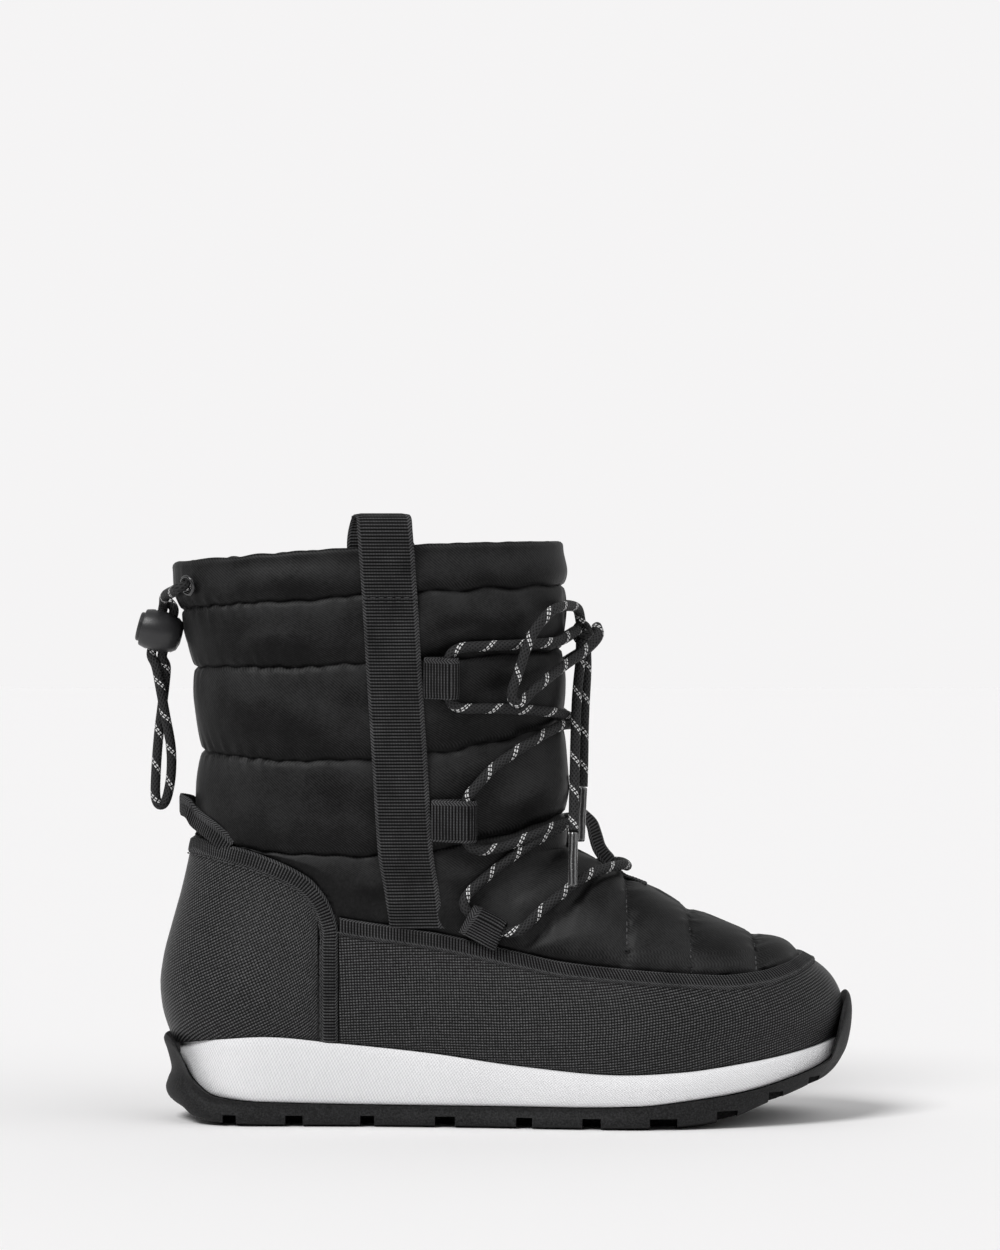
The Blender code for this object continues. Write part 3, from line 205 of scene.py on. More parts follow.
# The ring of u is divided at the heel curve and at the front curve
HEEL_CURVE_X = -95.0
FRONT_CURVE_X = -5.0
HEEL_CURVE_SHARE = 0.28
FRONT_CURVE_SHARE = 0.52


def smooth(xs, ys, at):
    """A smooth curve through a table's points that never overshoots them."""
    at = np.clip(at, xs[0], xs[-1])
    step = np.diff(xs)
    rise = np.diff(ys) / step
    slope = np.concatenate([rise[:1], np.zeros(len(xs) - 2), rise[-1:]])
    same_way = rise[:-1] * rise[1:] > 0
    mean = 2 * rise[:-1] * rise[1:] / np.where(same_way, rise[:-1] + rise[1:], 1)
    slope[1:-1] = np.where(same_way, mean, 0)
    i = np.clip(np.searchsorted(xs, at) - 1, 0, len(xs) - 2)
    t = (at - xs[i]) / step[i]
    value = ys[i] * (1 + 2 * t) * (1 - t) ** 2 + ys[i + 1] * t * t * (3 - 2 * t)
    return value + step[i] * t * (1 - t) * (slope[i] * (1 - t) - slope[i + 1] * t)


def read(rows, column, by, at):
    return smooth(rows[by], rows[column], at)


def round_off(share, power):
    """A rounded end: 1 at share 0, 0 at share 1 and negative past it."""
    left = 1 - np.abs(share) ** power
    return np.sign(left) * np.abs(left) ** (1 / power)


def soft_max(a, b, blend):
    near = np.clip(blend - np.abs(a - b), 0, None) / blend
    return np.maximum(a, b) + near * near * blend / 4


def ease(start, end, at):
    t = np.clip((at - start) / (end - start), 0, 1)
    return t * t * (3 - 2 * t)


def unit(vectors):
    """The vectors of an array, each brought to length 1."""
    return vectors / np.linalg.norm(vectors, axis=-1, keepdims=True)


def edge_height(x):
    return read(SOLE_EDGE, "z", "x", x)


RIDGE_FINE_X = np.linspace(RIDGE["x"][0], RIDGE["x"][-1], 600)
RIDGE_FINE_Z = read(RIDGE, "z", "x", RIDGE_FINE_X)


def foot_front(z):
    over = np.interp(-z, -RIDGE_FINE_Z, RIDGE_FINE_X)
    below = np.clip((TOE_WIDEST_Z - z) / (TOE_WIDEST_Z - TOE_EDGE_Z), 0, 1)
    return np.where(z > TOE_WIDEST_Z, over, TOE_X - EDGE_TUCK * below**2)


def ring_ends(z):
    back = np.minimum(read(HEEL_BACK, "x", "z", z), read(SHAFT, "back", "z", z))
    front = np.maximum(foot_front(z), read(SHAFT, "front", "z", z))
    return back, front


def plan_half(share):
    heel = round_off(np.clip(1 - share / HEEL_ROUND_SHARE, 0, None), HEEL_POWER)
    toe = round_off(np.clip((share - TOE_ROUND_SHARE) / (1 - TOE_ROUND_SHARE), 0, None), TOE_POWER)
    return read(PLAN, "half", "share", share) * heel * toe


def side_extent(x, z, side):
    """How far the skin reaches from the middle plane, at a place on the outer or inner side."""
    back = read(HEEL_BACK, "x", "z", z)
    below_toe = np.clip((TOE_WIDEST_Z - z) / (TOE_WIDEST_Z - TOE_EDGE_Z), 0, 1)
    share = (x - back) / (TOE_X - EDGE_TUCK * below_toe**2 - back)
    edge = edge_height(x)
    widest = edge + read(PLAN, "lift", "share", share)
    climb = (z - widest) / (read(RIDGE, "z", "x", x) - widest + 0.01)
    dome = round_off(np.clip(climb, 0, None), FOOT_POWER)
    half = plan_half(share)
    tuck = EDGE_TUCK * np.clip((widest - z) / (widest - edge), 0, 1.2) ** 2 * half / (half + EDGE_TUCK)
    foot = np.minimum(half, half * dome) - tuck + side * read(PLAN, "axis", "share", share)
    shaft_back = read(SHAFT, "back", "z", z)
    shaft_front = read(SHAFT, "front", "z", z)
    along = (2 * x - shaft_back - shaft_front) / (shaft_front - shaft_back)
    shaft = read(SHAFT, "half", "z", z) * round_off(along, SHAFT_POWER)
    return soft_max(foot, shaft, ANKLE_BLEND)


def ring_height(level, x):
    """Height of a level at x: -1 the sole edge, 0 the mudguard's line, 1 and more the stitched rings."""
    place = np.clip(level, 1, RIM_LEVEL)
    numbers = np.arange(1, RIM_LEVEL + 1)
    back, middle, front = (np.interp(place, numbers, RINGS[name]) for name in ("back", "middle", "front"))
    x0, x1, x2 = RING_X
    at = np.clip(x, HEEL_X, x2)
    z = back * (at - x1) * (at - x2) / ((x0 - x1) * (x0 - x2))
    z = z + middle * (at - x0) * (at - x2) / ((x1 - x0) * (x1 - x2))
    z = z + front * (at - x0) * (at - x1) / ((x2 - x0) * (x2 - x1))
    line = read(MUDGUARD_EDGE, "z", "x", x)
    z = np.where(level < 1, line + np.clip(level, 0, 1) * (z - line), z)
    return z + np.clip(-level, 0, 1) * (edge_height(x) - z)


def ring_x(v, back, front):
    """Place along the boot at share v of the way from the heel centre to the front centre."""
    quarter = math.pi / 2
    heel = HEEL_CURVE_X - (HEEL_CURVE_X - back) * np.cos(quarter * np.clip(v / HEEL_CURVE_SHARE, 0, 1))
    middle = (v - HEEL_CURVE_SHARE) / (FRONT_CURVE_SHARE - HEEL_CURVE_SHARE)
    flat = HEEL_CURVE_X + (FRONT_CURVE_X - HEEL_CURVE_X) * middle
    ahead = np.clip((v - FRONT_CURVE_SHARE) / (1 - FRONT_CURVE_SHARE), 0, 1)
    nose = FRONT_CURVE_X + (front - FRONT_CURVE_X) * np.sin(quarter * ahead)
    return np.where(v < HEEL_CURVE_SHARE, heel, np.where(v < FRONT_CURVE_SHARE, flat, nose))


def skin(u, level):
    """Points of the bare skin, under the padding."""
    u = np.mod(u, 2.0)
    u, level = np.broadcast_arrays(u, level)
    side = np.where(u <= 1, LATERAL, MEDIAL)
    v = np.where(u <= 1, u, 2 - u)
    z = ring_height(level, FRONT_CURVE_X + 0 * v)
    for _ in range(8):
        x = ring_x(v, *ring_ends(z))
        z = ring_height(level, x)
    x = ring_x(v, *ring_ends(z))
    y = side * side_extent(x, z, side)
    centre = (side_extent(x, z, MEDIAL) - side_extent(x, z, LATERAL)) / 2
    at_end = (v < 1e-6) | (v > 1 - 1e-6)
    return np.stack([x, np.where(at_end, centre, y), z], axis=-1)


def skin_normal(u, level):
    step = 0.004
    around = skin(u + step, level) - skin(u - step, level)
    low = np.maximum(level - step, FIRST_LEVEL)
    high = np.minimum(level + step, RIM_LEVEL)
    return unit(np.cross(around, skin(u, high) - skin(u, low)))


def level_at(x, z):
    """The level of a place on the side, from its height."""
    levels = np.arange(FIRST_LEVEL, RIM_LEVEL + 1)
    x, z = np.broadcast_arrays(np.asarray(x, float), np.asarray(z, float))
    heights = ring_height(levels, x[..., None] + 0 * levels)
    found = [np.interp(a, b, levels) for a, b in zip(z.ravel(), heights.reshape(-1, len(levels)))]
    return np.reshape(found, z.shape)


def u_at(x, z, side):
    back, front = ring_ends(np.asarray(z, float))
    x = np.clip(x, back, front)
    quarter = math.pi / 2
    heel = HEEL_CURVE_SHARE * np.arccos(np.clip((HEEL_CURVE_X - x) / (HEEL_CURVE_X - back), 0, 1)) / quarter
    flat = (x - HEEL_CURVE_X) / (FRONT_CURVE_X - HEEL_CURVE_X)
    flat = HEEL_CURVE_SHARE + (FRONT_CURVE_SHARE - HEEL_CURVE_SHARE) * flat
    nose = np.arcsin(np.clip((x - FRONT_CURVE_X) / (front - FRONT_CURVE_X), 0, 1)) / quarter
    nose = FRONT_CURVE_SHARE + (1 - FRONT_CURVE_SHARE) * nose
    v = np.where(x < HEEL_CURVE_X, heel, np.where(x < FRONT_CURVE_X, flat, nose))
    return v if side == LATERAL else 2 - v


def on_skin(x, z, side, offset):
    """Points over the skin at places on one side, and the skin's normals there."""
    level = level_at(x, z)
    u = u_at(x, z, side)
    normal = skin_normal(u, level)
    return skin(u, level) + normal * np.asarray(offset)[..., None], normal


SHARP_ANGLE = 50.0  # an edge that turns by more than this stays sharp


def cap_strips(ring):
    """Faces that close a ring of corners straight across, from one side of the boot to the other."""
    half = len(ring) // 2
    strips = [[ring[0], ring[1], ring[-1]]]
    strips += [[ring[k], ring[k + 1], ring[-k - 1], ring[-k]] for k in range(1, half - 1)]
    strips.append([ring[half - 1], ring[half], ring[half + 1]])
    return strips


def loft(name, loops, look, closed=False):
    """Mesh skinned through loops of points; its UVs are lengths along and round it, in metres."""
    loops = np.asarray(loops, float) * MM
    rings, count = loops.shape[:2]
    last = rings if closed else rings - 1
    i, j = np.meshgrid(np.arange(last), np.arange(count), indexing="ij")
    corners = [(i, j), (i, j + 1), (i + 1, j + 1), (i + 1, j)]
    faces = np.stack([(a % rings) * count + b % count for a, b in corners], axis=-1).reshape(-1, 4)
    step_along = np.linalg.norm(np.roll(loops, -1, axis=0) - loops, axis=2).mean(axis=1)
    step_round = np.linalg.norm(np.roll(loops, -1, axis=1) - loops, axis=2)
    along = np.concatenate([[0], np.cumsum(step_along)])
    around = np.concatenate([np.zeros((rings, 1)), np.cumsum(step_round, axis=1)], axis=1)
    lengths = [np.stack([along[a], around[a % rings, b]], axis=-1) for a, b in corners]
    flat = np.stack(lengths, axis=2).reshape(-1, 2)
    polygons = faces.tolist()
    if not closed:
        caps = cap_strips(range(count)) + cap_strips(range((rings - 1) * count, rings * count))
        polygons += caps
        flat = np.vstack([flat, np.zeros((sum(len(cap) for cap in caps), 2))])
    mesh = bpy.data.meshes.new(name)
    mesh.from_pydata(loops.reshape(-1, 3), [], polygons)
    mesh.uv_layers.new(name="lengths").data.foreach_set("uv", flat.ravel())
    shape = bmesh.new()
    shape.from_mesh(mesh)
    bmesh.ops.recalc_face_normals(shape, faces=shape.faces)
    shape.to_mesh(mesh)
    shape.free()
    mesh.shade_smooth()
    mesh.set_sharp_from_angle(angle=math.radians(SHARP_ANGLE))
    return add_piece(name, mesh, look)


def add_piece(name, mesh, look, body="boot"):
    made = bpy.data.objects.new(name, mesh)
    mesh.materials.append(look)
    bpy.context.scene.collection.objects.link(made)
    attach(made, body)
    return made


def start_material(name, colour, roughness):
    """A material of a plain colour and roughness, with its node tree and its Principled shader."""
    made = bpy.data.materials.new(name)
    made.use_nodes = True
    tree = made.node_tree
    shader = tree.nodes["Principled BSDF"]
    shader.inputs["Base Color"].default_value = (*colour, 1.0)
    shader.inputs["Roughness"].default_value = roughness
    return made, tree, shader


def add_node(tree, kind, **values):
    """A node with its properties, and its inputs by name or number, set."""
    node = tree.nodes.new(kind)
    for name, value in values.items():
        if hasattr(node, name):
            setattr(node, name, value)
        else:
            node.inputs[name.replace("_", " ")].default_value = value
    return node


def calculate(tree, operation, *values):
    """A Math node whose inputs are numbers or other nodes' outputs; gives its output."""
    node = tree.nodes.new("ShaderNodeMath")
    node.operation = operation
    for number, value in enumerate(values):
        if isinstance(value, (int, float)):
            node.inputs[number].default_value = value
        else:
            tree.links.new(value, node.inputs[number])
    return node.outputs[0]


def shade_between(tree, mask, dark, light):
    """A colour between two, by a mask; gives its output."""
    mix = tree.nodes.new("ShaderNodeMix")
    mix.data_type = "RGBA"
    mix.inputs["A"].default_value = (*dark, 1.0)
    mix.inputs["B"].default_value = (*light, 1.0)
    tree.links.new(mask, mix.inputs["Factor"])
    return mix.outputs["Result"]


def paint(tree, shader, mask, dark, light):
    """Base colour between two, by a mask."""
    tree.links.new(shade_between(tree, mask, dark, light), shader.inputs["Base Color"])


def roughen(tree, shader, mask, change, least):
    """Roughness that grows with a mask from its least value."""
    tree.links.new(calculate(tree, "MULTIPLY_ADD", mask, change, least), shader.inputs["Roughness"])


def split_place(tree, kind, output):
    """The X, Y and Z of what a node tells of a place on the surface."""
    place = tree.nodes.new(kind)
    split = tree.nodes.new("ShaderNodeSeparateXYZ")
    tree.links.new(place.outputs[output], split.inputs["Vector"])
    return split.outputs


def split_lengths(tree):
    """Lengths along and round a piece, in metres."""
    return split_place(tree, "ShaderNodeUVMap", "UV")


def raise_surface(tree, shader, height, distance, strength=1.0):
    bump = add_node(tree, "ShaderNodeBump", Strength=strength, Distance=distance)
    tree.links.new(height, bump.inputs["Height"])
    tree.links.new(bump.outputs["Normal"], shader.inputs["Normal"])


def start_group(name, inputs, outputs):
    """A node group with sockets for numbers, and the nodes where they come in and go out."""
    group = bpy.data.node_groups.new(name, "ShaderNodeTree")
    for label, value in inputs:
        socket = group.interface.new_socket(label, in_out="INPUT", socket_type="NodeSocketFloat")
        socket.default_value = value
    for label in outputs:
        group.interface.new_socket(label, in_out="OUTPUT", socket_type="NodeSocketFloat")
    return group, group.nodes.new("NodeGroupInput"), group.nodes.new("NodeGroupOutput")


FINE_SHARE = 0.35  # of the shade that comes from the fine grain, and the rest from the patches


def make_grain_group():
    """Fine grain of cloth, rubber and foam: patches of shade and a small rough height."""
    inputs = (("Size", 0.001), ("Patch", 0.02))
    group, start, end = start_group("fine_grain", inputs, ("Shade", "Height"))
    place = group.nodes.new("ShaderNodeTexCoord")
    found = []
    for size, detail in ((start.outputs["Size"], 3.0), (start.outputs["Patch"], 4.0)):
        noise = add_node(group, "ShaderNodeTexNoise", Detail=detail, Roughness=0.6)
        group.links.new(place.outputs["Object"], noise.inputs["Vector"])
        group.links.new(calculate(group, "DIVIDE", 1.0, size), noise.inputs["Scale"])
        found.append(noise.outputs["Fac"])
    fine = calculate(group, "MULTIPLY", found[0], FINE_SHARE)
    shade = calculate(group, "MULTIPLY_ADD", found[1], 1 - FINE_SHARE, fine)
    group.links.new(shade, end.inputs["Shade"])
    group.links.new(found[0], end.inputs["Height"])
    return group


fine_grain = make_grain_group()


def add_grain(tree, size, patch):
    grain = tree.nodes.new("ShaderNodeGroup")
    grain.node_tree = fine_grain
    grain.inputs["Size"].default_value = size
    grain.inputs["Patch"].default_value = patch
    return grain


NYLON_DARK = (0.001, 0.001, 0.0011)
NYLON_LIGHT = (0.030, 0.030, 0.0305)
NYLON_PAINTED_TOPLIGHT = 1.3  # strength of painted light and shade: the colour is painted lighter where the cloth faces up and darker where it faces down
PAINTED_TOPLIGHT_ENDS = (-0.3, 0.2)
PAINTED_TOPLIGHT_FADE = 0.4  # the painted light falls off again, darker, where the cloth lies flatter than this
TWILL_EVERY = 0.0014
TWILL_SLANT = 1.3
TWILL_STRENGTH = 0.3


def make_nylon():
    look, tree, shader = start_material("quilted_nylon", NYLON_DARK, 0.5)
    shader.inputs["Sheen Weight"].default_value = 0.02
    shader.inputs["Sheen Roughness"].default_value = 0.4
    shader.inputs["Specular IOR Level"].default_value = 0.14
    grain = add_grain(tree, 0.0012, 0.02)
    # Painted light and shade: the base colour is lighter where the cloth faces up and darker where it faces
    # down, as if lit from above.
    upward = split_place(tree, "ShaderNodeNewGeometry", "Normal")["Z"]
    steep = calculate(tree, "MINIMUM", upward, PAINTED_TOPLIGHT_ENDS[1])
    steep = calculate(tree, "MAXIMUM", steep, PAINTED_TOPLIGHT_ENDS[0])
    lying = calculate(tree, "MAXIMUM", calculate(tree, "SUBTRACT", upward, PAINTED_TOPLIGHT_FADE), 0.0)
    held = calculate(tree, "SUBTRACT", steep, lying)
    lengths = split_lengths(tree)
    slant = calculate(tree, "MULTIPLY_ADD", lengths["X"], TWILL_SLANT, lengths["Y"])
    twill = calculate(tree, "SINE", calculate(tree, "MULTIPLY", slant, 2 * math.pi / TWILL_EVERY))
    patches = calculate(tree, "MULTIPLY_ADD", grain.outputs["Shade"], 2.0, -0.55)
    painted_toplight = calculate(tree, "MULTIPLY_ADD", held, NYLON_PAINTED_TOPLIGHT, patches)
    shade = calculate(tree, "MULTIPLY_ADD", twill, TWILL_STRENGTH, painted_toplight)
    paint(tree, shader, shade, NYLON_DARK, NYLON_LIGHT)
    roughen(tree, shader, grain.outputs["Shade"], 0.22, 0.38)
    raise_surface(tree, shader, grain.outputs["Height"], 0.00022, 0.5)
    return look


quilted_nylon = make_nylon()

# Soft folds of the shaft and ankle: two ends in side view, side, height and width; a trough has
# a negative height
FOLDS = table(
    "x0 z0 x1 z1 side rise wide",
    (-104.0, 196.0, -62.0, 188.5, -1, 0.9, 7.0),
    (-112.0, 219.0, -66.0, 222.0, -1, 0.6, 5.0),
    (-110.0, 170.0, -64.0, 160.0, -1, 0.7, 8.0),
    (-20.0, 203.0, 16.0, 207.0, -1, 0.8, 6.0),
    (-30.0, 197.0, -10.0, 203.0, -1, -0.6, 4.0),
    (-14.0, 183.0, 16.0, 186.0, -1, 0.7, 6.0),
    (-14.0, 176.0, 14.0, 178.0, -1, -0.7, 4.0),
    (-28.0, 158.0, 10.0, 166.0, -1, 0.8, 6.0),
    (-24.0, 148.0, 12.0, 158.0, -1, -0.8, 4.0),
    (-8.0, 122.0, 20.0, 140.0, -1, 0.9, 7.0),
    (-10.0, 114.0, 22.0, 131.0, -1, -0.9, 4.0),
    (-26.0, 98.0, 0.0, 112.0, -1, 0.8, 7.0),
    (-60.0, 100.0, -48.0, 96.0, -1, 0.7, 6.0),
    (4.0, 84.0, 30.0, 104.0, -1, 0.9, 6.0),
    (-100.0, 193.0, -58.0, 197.0, 1, 0.9, 7.0),
    (-108.0, 168.0, -60.0, 163.0, 1, 0.8, 8.0),
    (-24.0, 199.0, 14.0, 204.0, 1, 0.8, 6.0),
    (-26.0, 150.0, 10.0, 160.0, 1, -0.8, 4.0),
    (-10.0, 117.0, 20.0, 134.0, 1, 0.9, 6.0),
    (2.0, 84.0, 28.0, 103.0, 1, 0.8, 6.0),
)
FOLD_DEEPER = 1.7
PUCKER_EVERY = 7.4  # distance between two puckers on a stitched line
PUCKER_REACH = 3.4
SEAM_WAVER = 0.4  # up and down, along a stitched line
SEAM_HOLD = 5.0
GATHER_HEIGHT = 0.35  # of the collar's folds, under the rim
RIM_GATHER = 0.35  # of the folds on the rim itself
RIM_ANGLES = (30, 60, 90, 120, 150, 180)  # steps over the rim, from the outside to the lining
COLLAR_LEAN_FROM = 0.85  # levels below the rim where the collar starts to lean in
COLLAR_LEAN = 0.8  # share of the padding that is lost at the rim
UNEVEN = 0.8  # height of the padding's own unevenness
PUCKER_HEIGHT = 0.8
VAMP_EDGE = ((6.2, 70.6), (41.4, 102.9))  # seam that joins the vamp to the shaft, under the low lace
SHELL_PUFF = 2.9
SHELL_ROUND = 13.0  # distance from a stitched line at which the shell is full
SHELL_STEPS = (56, 56, 92)  # columns of one side: heel, side and nose
SHELL_ROWS = {"foot": 8, "vamp": 78, "ring": 24, "collar": 18, "lining": 26}


def line_distance(x, z, a, b):
    """Distance of places in side view from a straight line between two points, and share along it."""
    ax, az = a
    dx, dz = b[0] - ax, b[1] - az
    share = ((x - ax) * dx + (z - az) * dz) / (dx * dx + dz * dz)
    held = np.clip(share, 0, 1)
    return np.hypot(x - ax - held * dx, z - az - held * dz), share


def seam_distance(points, level):
    """Distance of points of the skin from the nearest stitched line."""
    x, z = points[..., 0], points[..., 2]
    under = np.floor(np.clip(level, 1, RIM_LEVEL - 1e-6))
    far = 3 * PUFF_ROUND
    from_low = z - ring_height(under, x)
    from_high = np.where(under >= RIM_LEVEL - 1, far, ring_height(under + 1, x) - z)
    shaft = np.minimum(from_low, from_high)
    from_first = np.where(x < RING_X[2] - 1, ring_height(1.0 + 0 * x, x) - z, far)
    counter = read(COUNTER_EDGE, "z", "x", x)
    steep = np.where((x < COUNTER_FRONT_X) & (x > -92.0), 0.65, 1.0)
    edge = np.where(x < COUNTER_FRONT_X, counter, read(MUDGUARD_EDGE, "z", "x", x))
    lying = 1 + ease(VAMP_SEAMS[0], VAMP_SEAMS[2], x)
    vamp = np.minimum(from_first, (z - edge) * lying * steep)
    for seam in VAMP_SEAMS:
        vamp = np.minimum(vamp, np.abs(x - seam))
    joined, _ = line_distance(x, z, *VAMP_EDGE)
    vamp = np.minimum(vamp, joined)
    return np.where(level >= 1, shaft, vamp)


def shell_height(points, level, side):
    """Height of the padded shell over its bare form: swell, puckers and folds."""
    x, y, z = points[..., 0], points[..., 1], points[..., 2]
    away = seam_distance(points, level)
    near = np.clip(away, 0, SHELL_ROUND) / SHELL_ROUND
    swell = SHELL_PUFF * np.sqrt(1 - (1 - near) ** 2)
    run = x + 0.9 * y * np.sign(side) + 0.25 * z
    wander = 1.7 * np.sin(run / 23.0 + 0.06 * z) + 1.1 * np.sin(run / 9.7 + 1.3)
    wave = np.sin(2 * math.pi * (run + wander) / PUCKER_EVERY)
    wave = wave + 0.3 * np.sin(2 * math.pi * run / 4.3 + wander)
    strength = 0.6 + 0.4 * np.sin(run / 17.0 + 0.11 * z)
    fading = np.exp(-np.clip(away, 0, None) / PUCKER_REACH)
    pucker = PUCKER_HEIGHT * wave * strength * fading * np.clip(away / 1.2, 0, 1)
    soft = UNEVEN * np.sin(x / 15.0 + z / 31.0) * np.sin(z / 11.0 - x / 40.0 + side) * near
    folds = 0
    for x0, z0, x1, z1, fold_side, rise, wide in zip(*FOLDS.values()):
        apart, share = line_distance(x, z, (x0, z0), (x1, z1))
        taper = np.clip(1 - np.abs(2 * share - 1) ** 3, 0, 1)
        here = (np.sign(side) == fold_side) * near
        folds = folds + FOLD_DEEPER * rise * np.exp(-((apart / wide) ** 2)) * taper * here
    gather = np.sin(run / 1.55 + 0.5 * wander) + 0.6 * np.sin(run / 0.83 - wander)
    folds = folds + GATHER_HEIGHT * gather * strength * ease(RIM_LEVEL - 0.8, RIM_LEVEL - 0.3, level)
    return np.clip(swell + pucker + soft + folds, 0, None)


def grid_normals(points):
    """Outward normals of a grid of points that closes round the boot."""
    around = np.roll(points, -1, axis=1) - np.roll(points, 1, axis=1)
    return unit(np.cross(around, np.gradient(points, axis=0)))


def side_shares(heel, middle, nose):
    """Values of u once round the boot, with a number of steps for each stretch of a side."""
    shares = np.concatenate(
        [
            np.linspace(0, HEEL_CURVE_SHARE, heel, endpoint=False),
            np.linspace(HEEL_CURVE_SHARE, FRONT_CURVE_SHARE, middle, endpoint=False),
            np.linspace(FRONT_CURVE_SHARE, 1, nose + 1),
        ]
    )
    return np.concatenate([shares, 2 - shares[-2:0:-1]])


def build_shell():
    around = side_shares(*SHELL_STEPS)
    rows = [np.linspace(FIRST_LEVEL, 0, SHELL_ROWS["foot"], endpoint=False)]
    rows.append(np.linspace(0, 1, SHELL_ROWS["vamp"], endpoint=False))
    for ring in range(1, int(RIM_LEVEL) - 1):
        rows.append(np.linspace(ring, ring + 1, SHELL_ROWS["ring"], endpoint=False))
    rows.append(np.linspace(RIM_LEVEL - 1, RIM_LEVEL, SHELL_ROWS["collar"]))
    u, level = np.meshgrid(around, np.concatenate(rows))
    points = skin(u, level)
    side = np.where(u <= 1, LATERAL, MEDIAL)
    height = shell_height(points, level, side)
    turned_in = ease(RIM_LEVEL - COLLAR_LEAN_FROM, RIM_LEVEL, level)
    height = height * (1 - COLLAR_LEAN * turned_in)
    normals = grid_normals(points)
    outside = points + normals * height[..., None]
    x, y, z = points[..., 0], points[..., 1], points[..., 2]
    waver = np.sin(x / 5.1 + y / 4.0) + 0.7 * np.sin(x / 2.3 - y / 3.1 + z / 19.0)
    held = np.exp(-np.abs(seam_distance(points, level)) / SEAM_HOLD)
    outside[..., 2] += SEAM_WAVER * waver * held * ease(0.9, 1.0, level) * (1 - turned_in)
    rim = points[-1]
    rim_normal = unit(normals[-1] * (1, 1, 0))
    gather = RIM_GATHER * np.sin(rim[:, 0] / 2.1 + rim[:, 1] / 3.0) * (0.4 + ease(-60.0, -125.0, rim[:, 0]))
    over = []
    for angle in np.radians(RIM_ANGLES):
        reach = (height[-1] + WALL) / 2
        out = -WALL + reach * (1 + math.cos(angle))
        up = (RIM_ROUND + gather) * math.sin(angle)
        over.append(rim + rim_normal * out[:, None] + np.array([0, 0, 1]) * up[:, None])
    lining = np.linspace(RIM_LEVEL - 0.1, FIRST_LEVEL, SHELL_ROWS["lining"])
    inner = skin(*np.meshgrid(around, lining))
    normal = grid_normals(inner[::-1])[::-1]
    inner = inner - normal * WALL
    inner[..., 2] = np.maximum(inner[..., 2], edge_height(inner[..., 0]))
    loops = np.concatenate([outside, np.array(over), inner])
    shell = loft("quilted_shell", loops, quilted_nylon, closed=True)
    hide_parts("upper")


build_shell()

STITCH_EVERY = 3.1
STITCH_LONG = 2.3
STITCH_RADIUS = 0.36
THREAD = (0.05, 0.05, 0.052)
THREAD_STEPS = 6  # corners of a thread's section
THREAD_ENDS = ((-0.5, 0.35), (-0.3, 1.0), (0.3, 1.0), (0.5, 0.35))  # share of its length and of its radius


def make_thread():
    look, tree, shader = start_material("sewing_thread", THREAD, 0.55)
    grain = add_grain(tree, 0.0004, 0.004)
    raise_surface(tree, shader, grain.outputs["Height"], 0.0001, 0.6)
    return look


sewing_thread = make_thread()


def curve_through(rows, steps):
    """Rows of points on a smooth curve through the given rows, with a number of steps between two."""
    rows = np.asarray(rows, float)
    ends = np.concatenate([2 * rows[:1] - rows[1:2], rows, 2 * rows[-1:] - rows[-2:-1]])
    share = np.linspace(0, 1, steps, endpoint=False).reshape(-1, *([1] * (rows.ndim - 1)))
    fine = []
    for a, b, c, d in zip(ends, ends[1:], ends[2:], ends[3:]):
        square = 2 * a - 5 * b + 4 * c - d
        cube = 3 * b - a - 3 * c + d
        fine.append(0.5 * (2 * b + (c - a) * share + square * share**2 + cube * share**3))
    return np.concatenate(fine + [rows[-1:]])


def resample(rows, step):
    """Rows of points at even steps along a smooth curve through the given rows."""
    fine = curve_through(rows, 16)
    middle = fine.reshape(len(fine), -1, 3).mean(axis=1)
    length = np.concatenate([[0], np.cumsum(np.linalg.norm(np.diff(middle, axis=0), axis=1))])
    even = np.linspace(0, length[-1], max(3, round(length[-1] / step) + 1))
    flat = fine.reshape(len(fine), -1)
    found = np.stack([np.interp(even, length, flat[:, k]) for k in range(flat.shape[1])], axis=1)
    return found.reshape(len(even), *fine.shape[1:])


def full_turn(steps):
    """Angles of even steps once round."""
    return np.linspace(0, 2 * math.pi, steps, endpoint=False)


def sew(name, lines, radius=STITCH_RADIUS):
    """Stitches along lines of points: one joined mesh of short tapered threads."""
    turns = full_turn(THREAD_STEPS)
    verts, faces = [], []
    for line in lines:
        middle = resample(line, STITCH_EVERY)
        along = unit(np.gradient(middle, axis=0))
        for point, ahead in zip(middle, along):
            right = unit(np.cross(ahead, (0.31, 0.2, 0.93)))
            up = np.cross(right, ahead)
            first = len(verts)
            for place, wide in THREAD_ENDS:
                for turn in turns:
                    ring = right * math.cos(turn) + up * math.sin(turn)
                    verts.append((point + ahead * place * STITCH_LONG + ring * radius * wide) * MM)
            count = THREAD_STEPS
            last = len(THREAD_ENDS) - 1
            for r in range(last):
                for k in range(count):
                    a = first + r * count + k
                    b = first + r * count + (k + 1) % count
                    faces.append((a, b, b + count, a + count))
            faces.append([first + k for k in range(count)][::-1])
            faces.append([first + last * count + k for k in range(count)])
    mesh = bpy.data.meshes.new(name)
    mesh.from_pydata(verts, [], faces)
    mesh.shade_smooth()
    made = add_piece(name, mesh, sewing_thread)
    return made


VAMP_SEAM_LOW = 1.5  # a seam starts this far over the mudguard and ends this far under the ridge
VAMP_SEAM_HIGH = 0.6


def sew_vamp():
    lines = []
    for seam in VAMP_SEAMS:
        low = float(read(MUDGUARD_EDGE, "z", "x", seam)) + VAMP_SEAM_LOW
        high = float(read(RIDGE, "z", "x", seam)) - VAMP_SEAM_HIGH
        for side in (LATERAL, MEDIAL):
            share = np.linspace(0, 1, 9) ** 0.6
            lines.append([on_skin(seam, low + (high - low) * s, side, 0.35)[0] for s in share])
    sew("vamp_stitches", lines)


sew_vamp()

# Insole: a felt-covered foam board that lies loose in the shell, on the sole.
# Little of it shows, down through the collar.
FELT_DARK = (0.03, 0.03, 0.031)
FELT_LIGHT = (0.07, 0.07, 0.072)


